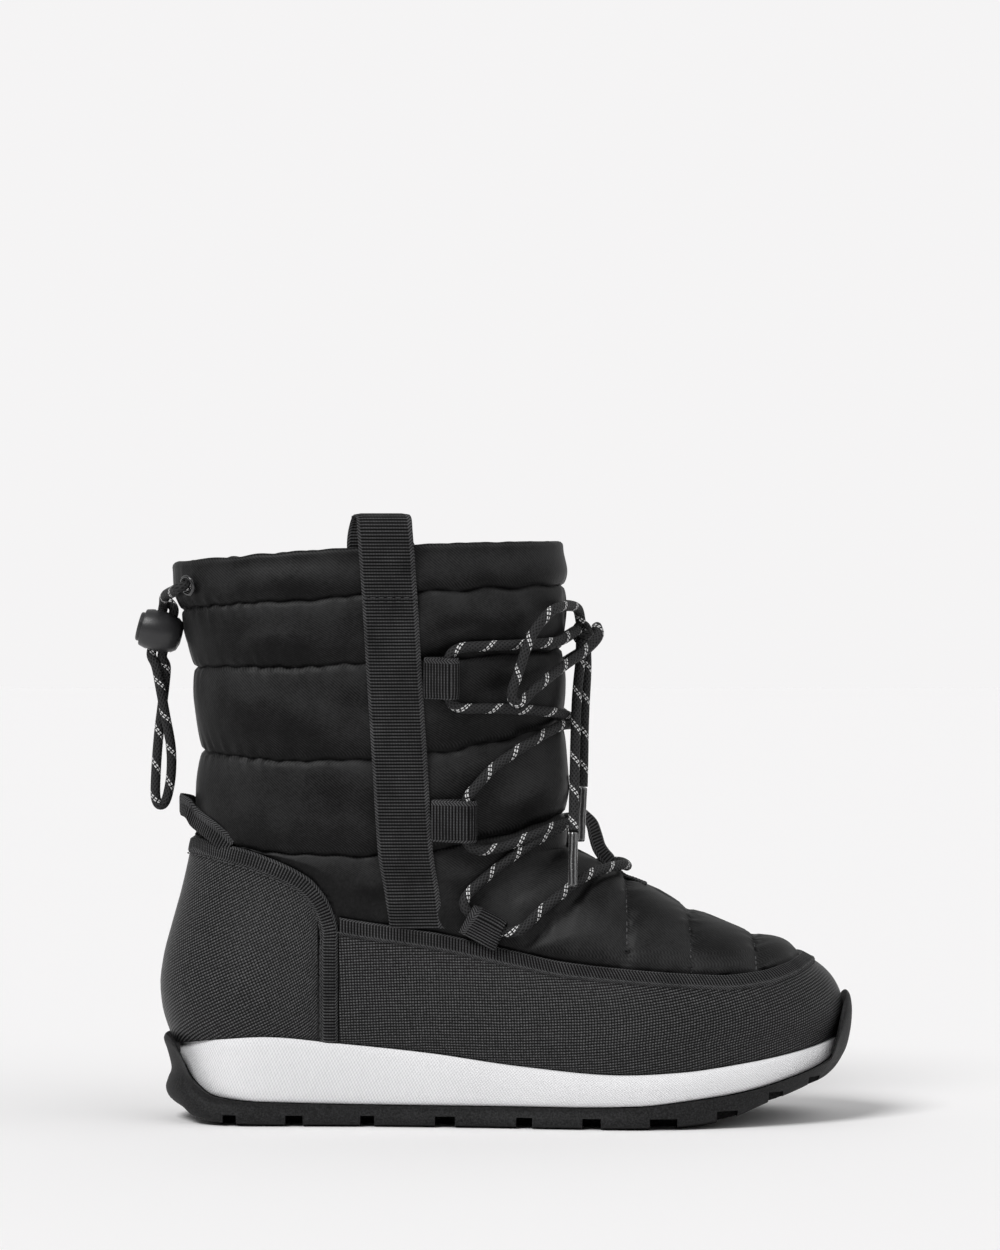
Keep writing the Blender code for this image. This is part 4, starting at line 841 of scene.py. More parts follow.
def make_felt():
    look, tree, shader = start_material("insole_felt", FELT_DARK, 0.95)
    grain = add_grain(tree, 0.0015, 0.02)
    paint(tree, shader, grain.outputs["Shade"], FELT_DARK, FELT_LIGHT)
    raise_surface(tree, shader, grain.outputs["Height"], 0.0006)
    return look


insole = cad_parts["insole"]
insole.data.materials.clear()
insole.data.materials.append(make_felt())

# Midsole: a wedge of white foam, moulded in one piece with a fine dotted grain on its wall.
# The upper is cemented on top of it and the outsole below and round its ends.
SOLE_GAP = 0.65
MIDSOLE_BACK = -132.6
MIDSOLE_FRONT = 136.4
MIDSOLE_END_DRAW = 4.0
MIDSOLE_STEPS = (30, 30, 44)  # columns of one side: heel, side and nose
END_SHARE = 0.09
BALL_HALF = float(PLAN["half"].max())
MIDSOLE_UNDER = table(
    "x z",
    (-136.0, 30.2),
    (-131.0, 24.9),
    (-126.0, 17.7),
    (-117.0, 11.8),
    (-99.0, 10.0),
    (-30.0, 8.9),
    (26.0, 8.9),
    (51.0, 9.5),
    (74.0, 11.9),
    (93.5, 14.6),
    (112.6, 19.2),
    (130.0, 25.4),
    (137.0, 33.4),
)
MIDSOLE_WALL = table(
    "share outset",
    (0.0, 0.4),
    (0.02, 1.0),
    (0.08, 1.7),
    (0.2, 2.1),
    (0.55, 2.3),
    (0.85, 1.6),
    (0.96, 0.9),
    (1.0, 0.2),
)
FOAM_WHITE = (0.93, 0.93, 0.94)
FOAM_DOT = 0.0013  # distance between two dots of one row of the grain
FOAM_SHADE = (0.74, 0.74, 0.755)


def plan_ring(around, back, front, outset, end_draw=0.0):
    """x and y of the sole's outline, wider than the foot by outset and drawn in at both ends."""
    side = np.where(around <= 1, LATERAL, MEDIAL)
    v = np.where(around <= 1, around, 2 - around)
    x = ring_x(v, back, front)
    share = (x - back) / (front - back)
    at_end = 1 - ease(0, END_SHARE, share) + ease(1 - END_SHARE, 1, share)
    half = plan_half(share) * (1 + (outset - end_draw * at_end) / BALL_HALF)
    return x, side * half + read(PLAN, "axis", "share", share)


def make_foam():
    look, tree, shader = start_material("midsole_foam", FOAM_WHITE, 0.62)
    grain = add_grain(tree, 0.0012, 0.05)
    lengths = split_lengths(tree)
    waves = []
    for across in (lengths["X"], lengths["Y"]):
        waves.append(calculate(tree, "SINE", calculate(tree, "MULTIPLY", across, 2 * math.pi / FOAM_DOT)))
    dots = calculate(tree, "MULTIPLY", *waves)
    shade = calculate(tree, "MULTIPLY_ADD", dots, 0.8, grain.outputs["Shade"])
    paint(tree, shader, shade, FOAM_SHADE, FOAM_WHITE)
    raise_surface(tree, shader, dots, 0.00012, 0.6)
    return look


def build_midsole():
    around = side_shares(*MIDSOLE_STEPS)
    loops = []
    for share, outset in zip(*MIDSOLE_WALL.values()):
        x, y = plan_ring(around, MIDSOLE_BACK, MIDSOLE_FRONT, outset, MIDSOLE_END_DRAW)
        under = read(MIDSOLE_UNDER, "z", "x", x)
        top = edge_height(x) - SOLE_GAP / 2
        loops.append(np.stack([x, y, under + share * (top - under)], axis=1))
    wedge = loft("foam_wedge", loops, make_foam())
    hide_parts("midsole")


build_midsole()

# Outsole: black rubber, moulded with side notches between its lugs and a channel down the middle.
# It is cemented under the foam and wraps up behind the heel and in front of the toe.
TREAD = table(
    "x z",
    (-139.0, 6.0),
    (-126.0, 0.7),
    (-118.0, 0.0),
    (58.0, 0.0),
    (72.0, 0.5),
    (85.7, 2.2),
    (106.0, 8.9),
    (126.0, 15.0),
    (141.0, 22.0),
)
HEEL_LIP_FROM = -126.0
TOE_LIP_FROM = 130.5
LIP_RUN = 6.0  # least length over which a ring rises to the toe
OUTSOLE_RINGS = table(
    "back back_z front front_z outset end_wide side_share lip",
    (-123.0, 0.3, 118.0, 12.4, -3.0, 0.0, 0.0, 0),
    (-135.2, 7.2, 127.5, 15.2, 0.9, 0.0, 0.15, 1),
    (-138.4, 12.0, 133.2, 19.4, 1.8, 0.0, 0.4, 1),
    (-137.6, 16.2, 136.8, 24.6, 1.6, 0.3, 0.62, 1),
    (-136.2, 20.4, 139.0, 29.4, 1.4, 0.6, 0.8, 1),
    (-137.6, 27.0, 140.5, 36.4, 1.5, 1.6, 0.94, 1),
    (-139.2, 31.8, 141.0, 43.4, 1.6, 2.4, 1.0, 1),
    (-139.1, 33.4, 140.4, 48.6, 1.3, 2.4, 1.0, 1),
    (-138.5, 34.2, 139.3, 50.8, 1.0, 1.9, 1.0, 1),
    (-138.0, 33.6, 138.7, 49.4, 0.9, 1.6, 1.0, 1),
    (-138.0, 31.8, 138.9, 43.0, 0.8, 1.4, 1.0, 1),
    (-137.1, 29.6, 138.2, 32.6, 0.2, 0.0, 1.0, 0),
)
LUG_NOTCHES = table(
    "x wide",
    (-111.0, 5.4),
    (-85.0, 7.0),
    (-55.7, 5.6),
    (-24.6, 8.0),
    (7.0, 6.4),
    (33.8, 7.4),
    (62.4, 11.0),
    (88.0, 8.4),
    (107.8, 6.0),
    (124.0, 5.0),
)
LIP_RING = 10  # the wall is rounded up to this ring
WALL_STEPS = 4
OUTSOLE_STEPS = (30, 30, 46)
CUT_SHARP_ANGLE = 32.0
NOTCH_DEEP = 4.6
NOTCH_REACH = 15.0
CUTTER_TALL = 20.0
CUTTER_OVER = 12.0
CHANNEL_WIDE = 7.0
CHANNEL_DEEP = 3.2
CHANNEL_Y = -1.0
CHANNEL_ENDS = (-100.0, 84.0)
RUBBER_DARK = (0.004, 0.004, 0.0042)
RUBBER_LIGHT = (0.026, 0.026, 0.027)


def make_rubber():
    look, tree, shader = start_material("outsole_rubber", RUBBER_DARK, 0.7)
    grain = add_grain(tree, 0.0007, 0.03)
    shader.inputs["Specular IOR Level"].default_value = 0.25
    spots = calculate(tree, "MULTIPLY_ADD", grain.outputs["Height"], 4.0, -1.6)
    paint(tree, shader, spots, RUBBER_DARK, RUBBER_LIGHT)
    roughen(tree, shader, grain.outputs["Height"], 0.3, 0.5)
    raise_surface(tree, shader, grain.outputs["Height"], 0.0003, 0.6)
    return look


def add_box(shape, middle, size):
    place = Matrix.Translation(Vector(middle) * MM) @ Matrix.Diagonal((*(Vector(size) * MM), 1.0))
    bmesh.ops.create_cube(shape, size=1.0, matrix=place)


def cut_away(piece, shape, name):
    """Cuts the boxes of a bmesh out of a piece and leaves a plain mesh."""
    mesh = bpy.data.meshes.new(name)
    shape.to_mesh(mesh)
    shape.free()
    cutter = bpy.data.objects.new(name, mesh)
    bpy.context.scene.collection.objects.link(cutter)
    step = piece.modifiers.new(name, "BOOLEAN")
    step.operation = "DIFFERENCE"
    step.solver = "MANIFOLD"
    step.object = cutter
    bpy.context.view_layer.update()
    shown = piece.evaluated_get(bpy.context.evaluated_depsgraph_get())
    result = bpy.data.meshes.new_from_object(shown)
    piece.modifiers.clear()
    bpy.data.objects.remove(cutter, do_unlink=True)
    result.shade_smooth()
    result.set_sharp_from_angle(angle=math.radians(CUT_SHARP_ANGLE))
    piece.data = result


def build_outsole():
    around = side_shares(*OUTSOLE_STEPS)
    loops = []
    for row in zip(*OUTSOLE_RINGS.values()):
        ring = dict(zip(OUTSOLE_RINGS, row))
        x, y = plan_ring(around, ring["back"], ring["front"], ring["outset"], -ring["end_wide"])
        under = read(TREAD, "z", "x", x)
        top = read(MIDSOLE_UNDER, "z", "x", x) - SOLE_GAP / 2
        z = under + ring["side_share"] * (top - under)
        heel = ring["lip"] * ease(HEEL_LIP_FROM, ring["back"], x)
        toe = ring["lip"] * ease(min(TOE_LIP_FROM, ring["front"] - LIP_RUN), ring["front"], x)
        z = z + heel * (ring["back_z"] - z) + toe * (ring["front_z"] - z)
        loops.append(np.stack([x, y, z], axis=1))
    wall = curve_through(loops[:LIP_RING], WALL_STEPS)
    tread = loft("rubber_tread", np.concatenate([wall, loops[LIP_RING:]]), make_rubber())
    cutters = bmesh.new()
    for x, wide in zip(LUG_NOTCHES["x"], LUG_NOTCHES["wide"]):
        share = (x - HEEL_X) / (TOE_X - HEEL_X)
        half = float(plan_half(share))
        axis = float(read(PLAN, "axis", "share", share))
        low = float(read(TREAD, "z", "x", x))
        reach = NOTCH_REACH + CUTTER_OVER
        for side in (LATERAL, MEDIAL):
            y = axis + side * (half + CUTTER_OVER - reach / 2)
            add_box(cutters, (x, y, low + NOTCH_DEEP - CUTTER_TALL / 2), (wide, reach, CUTTER_TALL))
    length = CHANNEL_ENDS[1] - CHANNEL_ENDS[0]
    middle = (sum(CHANNEL_ENDS) / 2, CHANNEL_Y, CHANNEL_DEEP - CUTTER_TALL / 2)
    add_box(cutters, middle, (length, CHANNEL_WIDE, CUTTER_TALL))
    cut_away(tread, cutters, "notches")
    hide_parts("outsole")


build_outsole()

# Mudguard and heel counter: panels of coated fabric with a fine cross hatch pressed into the coating.
# They are sewn over the shell round the foot and heel, and their feet go down into the sole's joint.
PANEL_THICK = 1.2
PANEL_GAP = 0.35
PANEL_FOOT = -0.995
PANEL_LAP = 1.5  # a panel reaches this far under its binding
PANEL_SQUARE = 40.0  # power of its edge: the higher, the squarer
COATING_DARK = (0.001, 0.001, 0.0011)
COATING_LIGHT = (0.15, 0.15, 0.153)
HATCH_EVERY = 0.00115  # distance between two lines
MUDGUARD_HATCH = ((-0.14, 1.0, 1.0), (1.0, 0.05, 0.7))  # direction across each set of lines, and strength
COUNTER_HATCH = ((-0.45, 0.89, 1.0), (0.93, 0.36, 0.6))


def make_coating(name, sets, by_height):
    """Coated fabric; its lines follow the panel's edge, or its height where the panel is cut across them."""
    look, tree, shader = start_material(name, COATING_DARK, 0.42)
    shader.inputs["Specular IOR Level"].default_value = 0.16
    lengths = split_lengths(tree)
    upward = split_place(tree, "ShaderNodeTexCoord", "Object")["Z"] if by_height else lengths["Y"]
    grain = add_grain(tree, 0.0011, 0.009)
    wander = calculate(tree, "MULTIPLY", grain.outputs["Shade"], 5.0)
    lines = []
    for along, up, strength in sets:
        part = calculate(tree, "MULTIPLY", lengths["X"], along)
        place = calculate(tree, "MULTIPLY_ADD", upward, up, part)
        turn = calculate(tree, "MULTIPLY_ADD", place, 2 * math.pi / HATCH_EVERY, wander)
        wave = calculate(tree, "MULTIPLY_ADD", calculate(tree, "SINE", turn), 0.5, 0.5)
        lines.append(calculate(tree, "MULTIPLY_ADD", wave, strength, 1 - strength))
    hatch = calculate(tree, "MULTIPLY", *lines)
    worn = calculate(tree, "MULTIPLY_ADD", grain.outputs["Height"], 2.4, -0.2)
    broken = calculate(tree, "MULTIPLY", calculate(tree, "POWER", hatch, 1.6), worn)
    paint(tree, shader, broken, COATING_DARK, COATING_LIGHT)
    roughen(tree, shader, broken, 0.25, 0.34)
    raise_surface(tree, shader, hatch, 0.0004, 0.7)
    return look


def down_the_skin(u, level, distance):
    """The level a distance below another, measured along the skin."""
    steps = 60
    levels = np.linspace(level, FIRST_LEVEL, steps)
    points = skin(np.full((steps, len(u)), u), levels)
    length = np.zeros((steps, len(u)))
    length[1:] = np.cumsum(np.linalg.norm(np.diff(points, axis=0), axis=2), axis=0)
    return np.array([np.interp(distance, length[:, i], levels[:, i]) for i in range(len(u))])


def level_for(u, height_at):
    """Level at u where the skin has the height that belongs to its place along the boot."""
    level = 0.5
    for _ in range(12):
        x = float(skin(np.array(u), np.array(level))[0])
        level = float(level_at(x, float(height_at(x))))
    return level


def thicken(name, rows, gap, thick, look, round_edge=6.0):
    """A sheet on the skin: rows of (point, outward normal) across it, with rounded long edges."""
    points, normal = rows
    share = np.linspace(-1, 1, points.shape[1])
    full = (np.clip(1 - np.abs(share) ** round_edge, 0, 1) ** 0.5)[None, :, None]
    outside = points + normal * (gap + thick * (0.35 + 0.65 * full))
    inside = points + normal * gap
    return loft(name, np.concatenate([outside, inside[:, ::-1]], axis=1), look)


def on_levels(u, levels):
    """Points and normals of the skin on a grid: a column of levels for each u."""
    u = np.repeat(np.asarray(u)[:, None], levels.shape[1], axis=1)
    return skin(u, levels), skin_normal(u, levels)


COUNTER_CORNER = float(COUNTER_EDGE["z"][-1])
BINDING_WIDE = 7.4
MUDGUARD_COLUMNS = 340
MUDGUARD_START = COUNTER_FRONT_X + 0.6  # just ahead of the counter's front edge
PANEL_ROWS = 30


def build_mudguard():
    start = u_at(MUDGUARD_START, COUNTER_CORNER, LATERAL)
    u = np.linspace(start, 2 - start, MUDGUARD_COLUMNS)
    top = down_the_skin(u, np.zeros(len(u)), BINDING_WIDE - PANEL_LAP)
    levels = PANEL_FOOT + np.linspace(0, 1, PANEL_ROWS) * (top - PANEL_FOOT)[:, None]
    look = make_coating("mudguard_coating", MUDGUARD_HATCH, by_height=False)
    panel = thicken("mudguard_panel", on_levels(u, levels), PANEL_GAP, PANEL_THICK, look, PANEL_SQUARE)
    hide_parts("mudguard")


def counter_height(x):
    return read(COUNTER_EDGE, "z", "x", x)


def counter_side(step):
    """Edge of the counter on one side, from the heel to the sole, and the direction into the panel."""
    edge = [(x, float(counter_height(x))) for x in np.arange(-125.0, COUNTER_FRONT_X, step)]
    foot = float(edge_height(COUNTER_FRONT_X)) + 0.4
    edge += [(COUNTER_FRONT_X, z) for z in np.linspace(COUNTER_CORNER, foot, 8)]
    edge = np.array(edge)
    along = unit(np.gradient(edge, axis=0))
    inward = np.stack([along[:, 1], -along[:, 0]], axis=1)
    inward[:2] = (0.0, -1.0)
    return edge, inward


COUNTER_COLUMNS = 56  # of one side


def build_counter():
    edge, inward = counter_side(3.0)
    inner = edge + inward * (BINDING_WIDE - PANEL_LAP)
    order = np.argsort(inner[:, 0], kind="stable")
    front = u_at(COUNTER_FRONT_X - BINDING_WIDE + PANEL_LAP, COUNTER_CORNER, LATERAL)
    side = np.linspace(0, front, COUNTER_COLUMNS)
    u = np.concatenate([-side[:0:-1], side])
    top = np.array([level_for(a, lambda x: np.interp(x, inner[order, 0], inner[order, 1])) for a in u])
    levels = PANEL_FOOT + np.linspace(0, 1, PANEL_ROWS) * (top - PANEL_FOOT)[:, None]
    look = make_coating("counter_coating", COUNTER_HATCH, by_height=True)
    panel = thicken("counter_panel", on_levels(u, levels), PANEL_GAP, PANEL_THICK, look, PANEL_SQUARE)
    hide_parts("heel_counter")


build_mudguard()
build_counter()

# Bindings: a ribbed tape folded over the upper edge of each panel and sewn through.
# Its ribs run across it, about one to the millimetre.
BINDING_THICK = 2.0
TAPE_DARK = (0.001, 0.001, 0.0011)
TAPE_LIGHT = (0.14, 0.14, 0.143)
TAPE_RIB = 1.24
BINDING_STITCH = 0.22  # radius of the thread
SELVEDGE = 0.0013
BAND_EDGE = 0.0015  # about the thickness of a band, between its two faces
YARN_TWIST = 0.0011  # length of one twist of a rib's yarn
RIB_POWER = 3.0  # the higher, the narrower the light top of a rib


def make_ribs_group():
    """Woven band, by its lengths: ribs of twisted yarn across it, between two slanted selvedges."""
    inputs = (("Every", 0.0012), ("Wide", 0.02))
    group, start, end = start_group("woven_ribs", inputs, ("Height", "Yarn"))
    lengths = split_lengths(group)
    turns = calculate(group, "DIVIDE", lengths["X"], start.outputs["Every"])
    angle = calculate(group, "MULTIPLY", turns, math.pi)
    rib = calculate(group, "ABSOLUTE", calculate(group, "SINE", angle))
    both = calculate(group, "ADD", start.outputs["Wide"], BAND_EDGE)
    across = calculate(group, "MODULO", lengths["Y"], both)
    half = calculate(group, "MULTIPLY", start.outputs["Wide"], 0.5)
    from_middle = calculate(group, "ABSOLUTE", calculate(group, "SUBTRACT", across, half))
    inward = calculate(group, "SUBTRACT", half, from_middle)
    edge = calculate(group, "LESS_THAN", inward, SELVEDGE)
    leaning = calculate(group, "MULTIPLY_ADD", inward, math.pi / SELVEDGE, angle)
    plait = calculate(group, "ABSOLUTE", calculate(group, "SINE", leaning))
    twist = calculate(group, "SINE", calculate(group, "MULTIPLY", lengths["Y"], 2 * math.pi / YARN_TWIST))
    dimmed = calculate(group, "MULTIPLY_ADD", twist, 0.2, 0.8)
    twisted = calculate(group, "MULTIPLY", calculate(group, "POWER", rib, RIB_POWER), dimmed)
    change = calculate(group, "SUBTRACT", plait, twisted)
    yarn = calculate(group, "MULTIPLY_ADD", change, edge, twisted)
    group.links.new(yarn, end.inputs["Height"])
    group.links.new(yarn, end.inputs["Yarn"])
    return group


woven_ribs = make_ribs_group()


def make_woven(name, rib, wide, dark, light, depth):
    look, tree, shader = start_material(name, dark, 0.7)
    shader.inputs["Specular IOR Level"].default_value = 0.08
    ribs = tree.nodes.new("ShaderNodeGroup")
    ribs.node_tree = woven_ribs
    ribs.inputs["Every"].default_value = rib * MM
    ribs.inputs["Wide"].default_value = wide * MM
    grain = add_grain(tree, 0.0006, 0.012)
    worn = calculate(tree, "MULTIPLY_ADD", grain.outputs["Shade"], 1.6, -0.1)
    yarn = calculate(tree, "MULTIPLY", ribs.outputs["Yarn"], worn)
    paint(tree, shader, yarn, dark, light)
    roughen(tree, shader, grain.outputs["Height"], 0.2, 0.58)
    raise_surface(tree, shader, ribs.outputs["Height"], depth)
    return look


binding_tape = make_woven("binding_tape", TAPE_RIB, BINDING_WIDE, TAPE_DARK, TAPE_LIGHT, 0.0004)


def bind_mudguard():
    start = u_at(MUDGUARD_START, COUNTER_CORNER, LATERAL)
    u = np.linspace(start, 2 - start, MUDGUARD_COLUMNS)
    low = down_the_skin(u, np.zeros(len(u)), BINDING_WIDE)
    levels = np.linspace(0, 1, 9) * low[:, None]
    tape = thicken("mudguard_tape", on_levels(u, levels), PANEL_GAP, BINDING_THICK, binding_tape)
    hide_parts("mudguard_binding")
    line = down_the_skin(u, np.zeros(len(u)), BINDING_WIDE - 1.4)
    points, normal = on_levels(u[::6], line[::6, None])
    return (points + normal * (PANEL_GAP + BINDING_THICK))[:, 0]


def bind_counter():
    edge, inward = counter_side(6.0)
    across = np.linspace(0, BINDING_WIDE, 6)
    tape = {LATERAL: [], MEDIAL: []}
    for side, sections in tape.items():
        for (x, z), (inward_x, inward_z) in zip(edge, inward):
            sections.append(on_skin(x + inward_x * across, z + inward_z * across, side, 0.0))
    first = u_at(*edge[0], LATERAL)
    heel = []
    for u in np.linspace(first, -first, 13)[1:-1]:
        levels = [level_for(u, lambda x, d=d: counter_height(x) - d) for d in across]
        points, normal = on_levels([u], np.array([levels]))
        heel.append((points[0], normal[0]))
    sections = tape[LATERAL][::-1] + heel + tape[MEDIAL]
    points = resample([point for point, _ in sections], 1.5)
    normal = unit(np.cross(np.gradient(points, axis=0), np.gradient(points, axis=1)))
    out_at_heel = normal[len(normal) // 2].mean(axis=0)[0]
    normal = -normal if out_at_heel > 0 else normal
    tape = thicken("counter_tape", (points, normal), PANEL_GAP, BINDING_THICK, binding_tape)
    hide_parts("counter_binding")
    inner = points[:, -1] * 0.8 + points[:, -2] * 0.2
    return (inner + normal[:, -1] * (PANEL_GAP + BINDING_THICK * 0.9))[::4]


sew("binding_stitches", [bind_mudguard(), bind_counter()], BINDING_STITCH)

# Webbing: ribbed nylon tape. A wide strap is sewn up each side and stands over the rim as a pull loop,
# short pieces are folded round the lace as keepers, and narrow ones make the loops at heel and front.
WEBBING_DARK = (0.001, 0.001, 0.0011)
WEBBING_LIGHT = (0.13, 0.13, 0.133)
WEBBING_RIB = 1.3
STRAP_WIDE = 21.6
KEEPER_WIDE = 16.4
LOOP_WIDE = 9.4  # about the width of the narrow tape at heel and front


def make_webbing(name, wide):
    return make_woven(name, WEBBING_RIB, wide, WEBBING_DARK, WEBBING_LIGHT, 0.0005)


strap_webbing = make_webbing("strap_webbing", STRAP_WIDE)
keeper_webbing = make_webbing("keeper_webbing", KEEPER_WIDE)
loop_webbing = make_webbing("loop_webbing", LOOP_WIDE)


def weave_band(name, rows, thick, look, node, step=0.33):
    """A band of webbing through rows of points across its middle, with ribs and thinner selvedges."""
    rows = resample(rows, step)
    normal = unit(np.cross(np.gradient(rows, axis=0), np.gradient(rows, axis=1)))
    length = np.concatenate([[0], np.cumsum(np.linalg.norm(np.diff(rows.mean(axis=1), axis=0), axis=1))])
    share = np.linspace(-1, 1, rows.shape[1])
    full = np.clip(1 - np.abs(share) ** 10, 0, 1) ** 0.5
    ribs = 0.13 * np.abs(np.sin(math.pi * length / WEBBING_RIB))[:, None] * (np.abs(share) < 0.93)
    half = thick / 2 * (0.5 + 0.5 * full)[None, :] + ribs - 0.06
    outside = rows + normal * half[..., None]
    inside = rows - normal * half[..., None]
    band = loft(name, np.concatenate([outside, inside[:, ::-1]], axis=1), look)
    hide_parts(node)
    return band


STRAP = table(
    "z x",
    (76.0, -35.2),
    (95.0, -38.0),
    (110.0, -40.4),
    (147.0, -42.7),
    (183.0, -44.9),
    (214.0, -46.7),
    (240.0, -48.6),
)
STRAP_THICK = 1.3
PULL_LOOP = table(
    "out up",
    (4.2, -4.0),
    (4.4, 2.0),
    (4.4, 8.0),
    (2.6, 12.4),
    (-0.8, 14.0),
    (-4.2, 12.4),
    (-6.0, 8.0),
    (-5.8, 3.0),
    (-5.2, -2.0),
    (-5.0, -10.0),
    (-5.0, -19.0),
)
LOOP_LEAN = -5.0  # the inside leg stands this much nearer the heel
LEAN_BETWEEN = {LATERAL: (0.25, 0.75), MEDIAL: (0.0, 0.3)}  # shares of the loop's length
STRAP_OUT = PUFF + GAP + STRAP_THICK / 2
STRAP_ROWS = 26
FOOT_OUT = 1.5  # its foot lies this far over the bare form, under the tape's edge
FOOT_RISE = 12.0
STRAP_SEAM_Z = (210.4, 212.0)
STRAP_STITCH = 0.2  # radius of the thread


def over_rim(x, z, side, out):
    """Points over the rim, out from the collar by a level distance."""
    points, normal = on_skin(x, ring_height(RIM_LEVEL + 0 * x, x), side, 0.0)
    return np.column_stack([points[:, :2] + unit(normal[:, :2]) * out, np.full(len(points), z)])


def build_strap(side, side_name):
    foot = float(read(MUDGUARD_EDGE, "z", "x", STRAP["x"][0])) + 0.4
    rim_z = float(ring_height(np.array(RIM_LEVEL), np.array(STRAP["x"][-1])))
    heights = np.linspace(foot, rim_z + 2 * PULL_LOOP["up"][0], STRAP_ROWS)
    path = [(FOOT_OUT + (STRAP_OUT - FOOT_OUT) * ease(foot, foot + FOOT_RISE, z), z) for z in heights]
    path += [(out, rim_z + up) for out, up in zip(*PULL_LOOP.values())]
    share = np.linspace(0, 1, len(PULL_LOOP["out"]))
    lean = np.concatenate([np.zeros(STRAP_ROWS), LOOP_LEAN * ease(*LEAN_BETWEEN[side], share)])
    rows = []
    for number, (out, z) in enumerate(path):
        middle = float(read(STRAP, "x", "z", z)) + lean[number]
        places = middle + np.linspace(-STRAP_WIDE / 2, STRAP_WIDE / 2, 9)
        if number < STRAP_ROWS:
            rows.append(on_skin(places, z, side, out)[0])
        else:
            rows.append(over_rim(places, z, side, out))
    weave_band(f"side_strap_{side_name}", rows, STRAP_THICK, strap_webbing, f"strap_{side_name}")


def sew_strap(side):
    """The cross seam that closes the pull loop, just under the collar's ring."""
    lines = []
    for z in STRAP_SEAM_Z:
        middle = float(read(STRAP, "x", "z", z))
        places = np.linspace(-STRAP_WIDE / 2 + 1, STRAP_WIDE / 2 - 1, 6)
        lines.append([on_skin(middle + place, z, side, STRAP_OUT + 0.85)[0] for place in places])
    return lines


LACE_RADIUS = 2.05
KEEPER_NAMES = ("top", "middle", "low")
KEEPERS = table(
    "x z turn long",
    (-32.6, 180.2, 0.0, 12.4),
    (-29.8, 123.4, 0.0, 16.4),
    (-11.4, 74.6, 62.0, 11.4),
)
KEEPER_THICK = 1.1
KEEPER_FOLD = LACE_RADIUS + KEEPER_THICK / 2 + 0.9  # radius of the fold round the lace
KEEPER_OUT = PUFF + 1.5 * GAP + KEEPER_THICK / 2


def fold_middle(long):
    return long - KEEPER_FOLD - KEEPER_THICK / 2


def keeper_axes(turn):
    ahead = np.array([math.cos(math.radians(turn)), math.sin(math.radians(turn))])
    return ahead, np.array([-ahead[1], ahead[0]])


def build_keeper(name, x, z, turn, long, side, side_name):
    middle = fold_middle(long)
    path = [(0.0, 0.0), (middle / 2, 0.0)]
    for angle in np.radians(np.linspace(-90, 100, 9)):
        path.append((middle + KEEPER_FOLD * math.cos(angle), KEEPER_FOLD * (1 + math.sin(angle))))
    path += [(middle / 3, KEEPER_FOLD), (-0.6, KEEPER_THICK + 0.2)]
    ahead, across = keeper_axes(turn)
    rows = []
    for reach, out in path:
        wide = np.linspace(-KEEPER_WIDE / 2, KEEPER_WIDE / 2, 7)
        places = np.array([x, z]) + ahead * reach + across * wide[:, None]
        rows.append(on_skin(*places.T, side, KEEPER_OUT + out)[0])
    node = f"keeper_{side_name}_{name}"
    weave_band(f"lace_{node}", rows, KEEPER_THICK, keeper_webbing, node)


GUIDE = table(
    "x z",
    (26.1, 139.0),
    (26.8, 132.0),
    (30.6, 125.0),
    (34.6, 119.6),
    (36.2, 114.6),
    (37.6, 110.0),
    (39.6, 106.8),
    (42.0, 104.2),
    (45.0, 100.8),
    (48.2, 98.3),
    (52.4, 96.7),
    (57.0, 94.9),
)
GUIDE_WIDE = 10.0
GUIDE_TWIST = 32.0  # its free stretch turns this far towards the outer side
GUIDE_THICK = 1.2
GUIDE_Y = -1.0


def build_guide():
    path = np.stack([GUIDE["x"], np.full(len(GUIDE["x"]), GUIDE_Y), GUIDE["z"]], axis=1)
    along = unit(np.gradient(path, axis=0))
    share = np.linspace(0, 1, len(path))
    twist = np.radians(GUIDE_TWIST) * ease(0.05, 0.35, share) * (1 - ease(0.6, 0.8, share))
    rows = []
    for point, ahead, angle in zip(path, along, twist):
        level = np.array([0.0, 1.0, 0.0])
        wide = math.cos(angle) * level + math.sin(angle) * np.cross(ahead, level)
        rows.append([point + wide * place for place in np.linspace(-GUIDE_WIDE / 2, GUIDE_WIDE / 2, 7)])
    weave_band("front_loop", rows, GUIDE_THICK, loop_webbing, "lace_guide")


HEEL_TAB = table("x z out", (-110.2, 111.0, 1.2), (-115.6, 117.0, 3.4), (-121.0, 122.6, 5.2))
HEEL_TAB_BACK = table("x y z", (-128.8, 11.0, 126.0), (-132.0, 4.0, 127.2))
HEEL_TAB_WIDE = 8.6
HEEL_TAB_THICK = 1.2


def build_heel_tab():
    half = {}
    for side in (LATERAL, MEDIAL):
        half[side] = [on_skin(x, z, side, out)[0] for x, z, out in zip(*HEEL_TAB.values())]
        half[side] += [np.array([x, side * y, z]) for x, y, z in zip(*HEEL_TAB_BACK.values())]
    path = np.array(half[LATERAL] + half[MEDIAL][::-1])
    rows = []
    for point, direction in zip(path, np.gradient(path, axis=0)):
        flat = np.array([-direction[1], direction[0], 0.0])
        wide = unit(np.cross(direction, flat)) * HEEL_TAB_WIDE / 2
        rows.append([point + wide * share for share in np.linspace(-1, 1, 7)])
    weave_band("heel_loop", rows, HEEL_TAB_THICK, loop_webbing, "heel_tab")


SIDE_NAMES = {LATERAL: "lateral", MEDIAL: "medial"}
strap_seams = []
for this_side, this_name in SIDE_NAMES.items():
    build_strap(this_side, this_name)
    strap_seams += sew_strap(this_side)
    for keeper, values in zip(KEEPER_NAMES, zip(*KEEPERS.values())):
        build_keeper(keeper, *values, this_side, this_name)
sew("strap_stitches", strap_seams, STRAP_STITCH)
build_guide()
build_heel_tab()

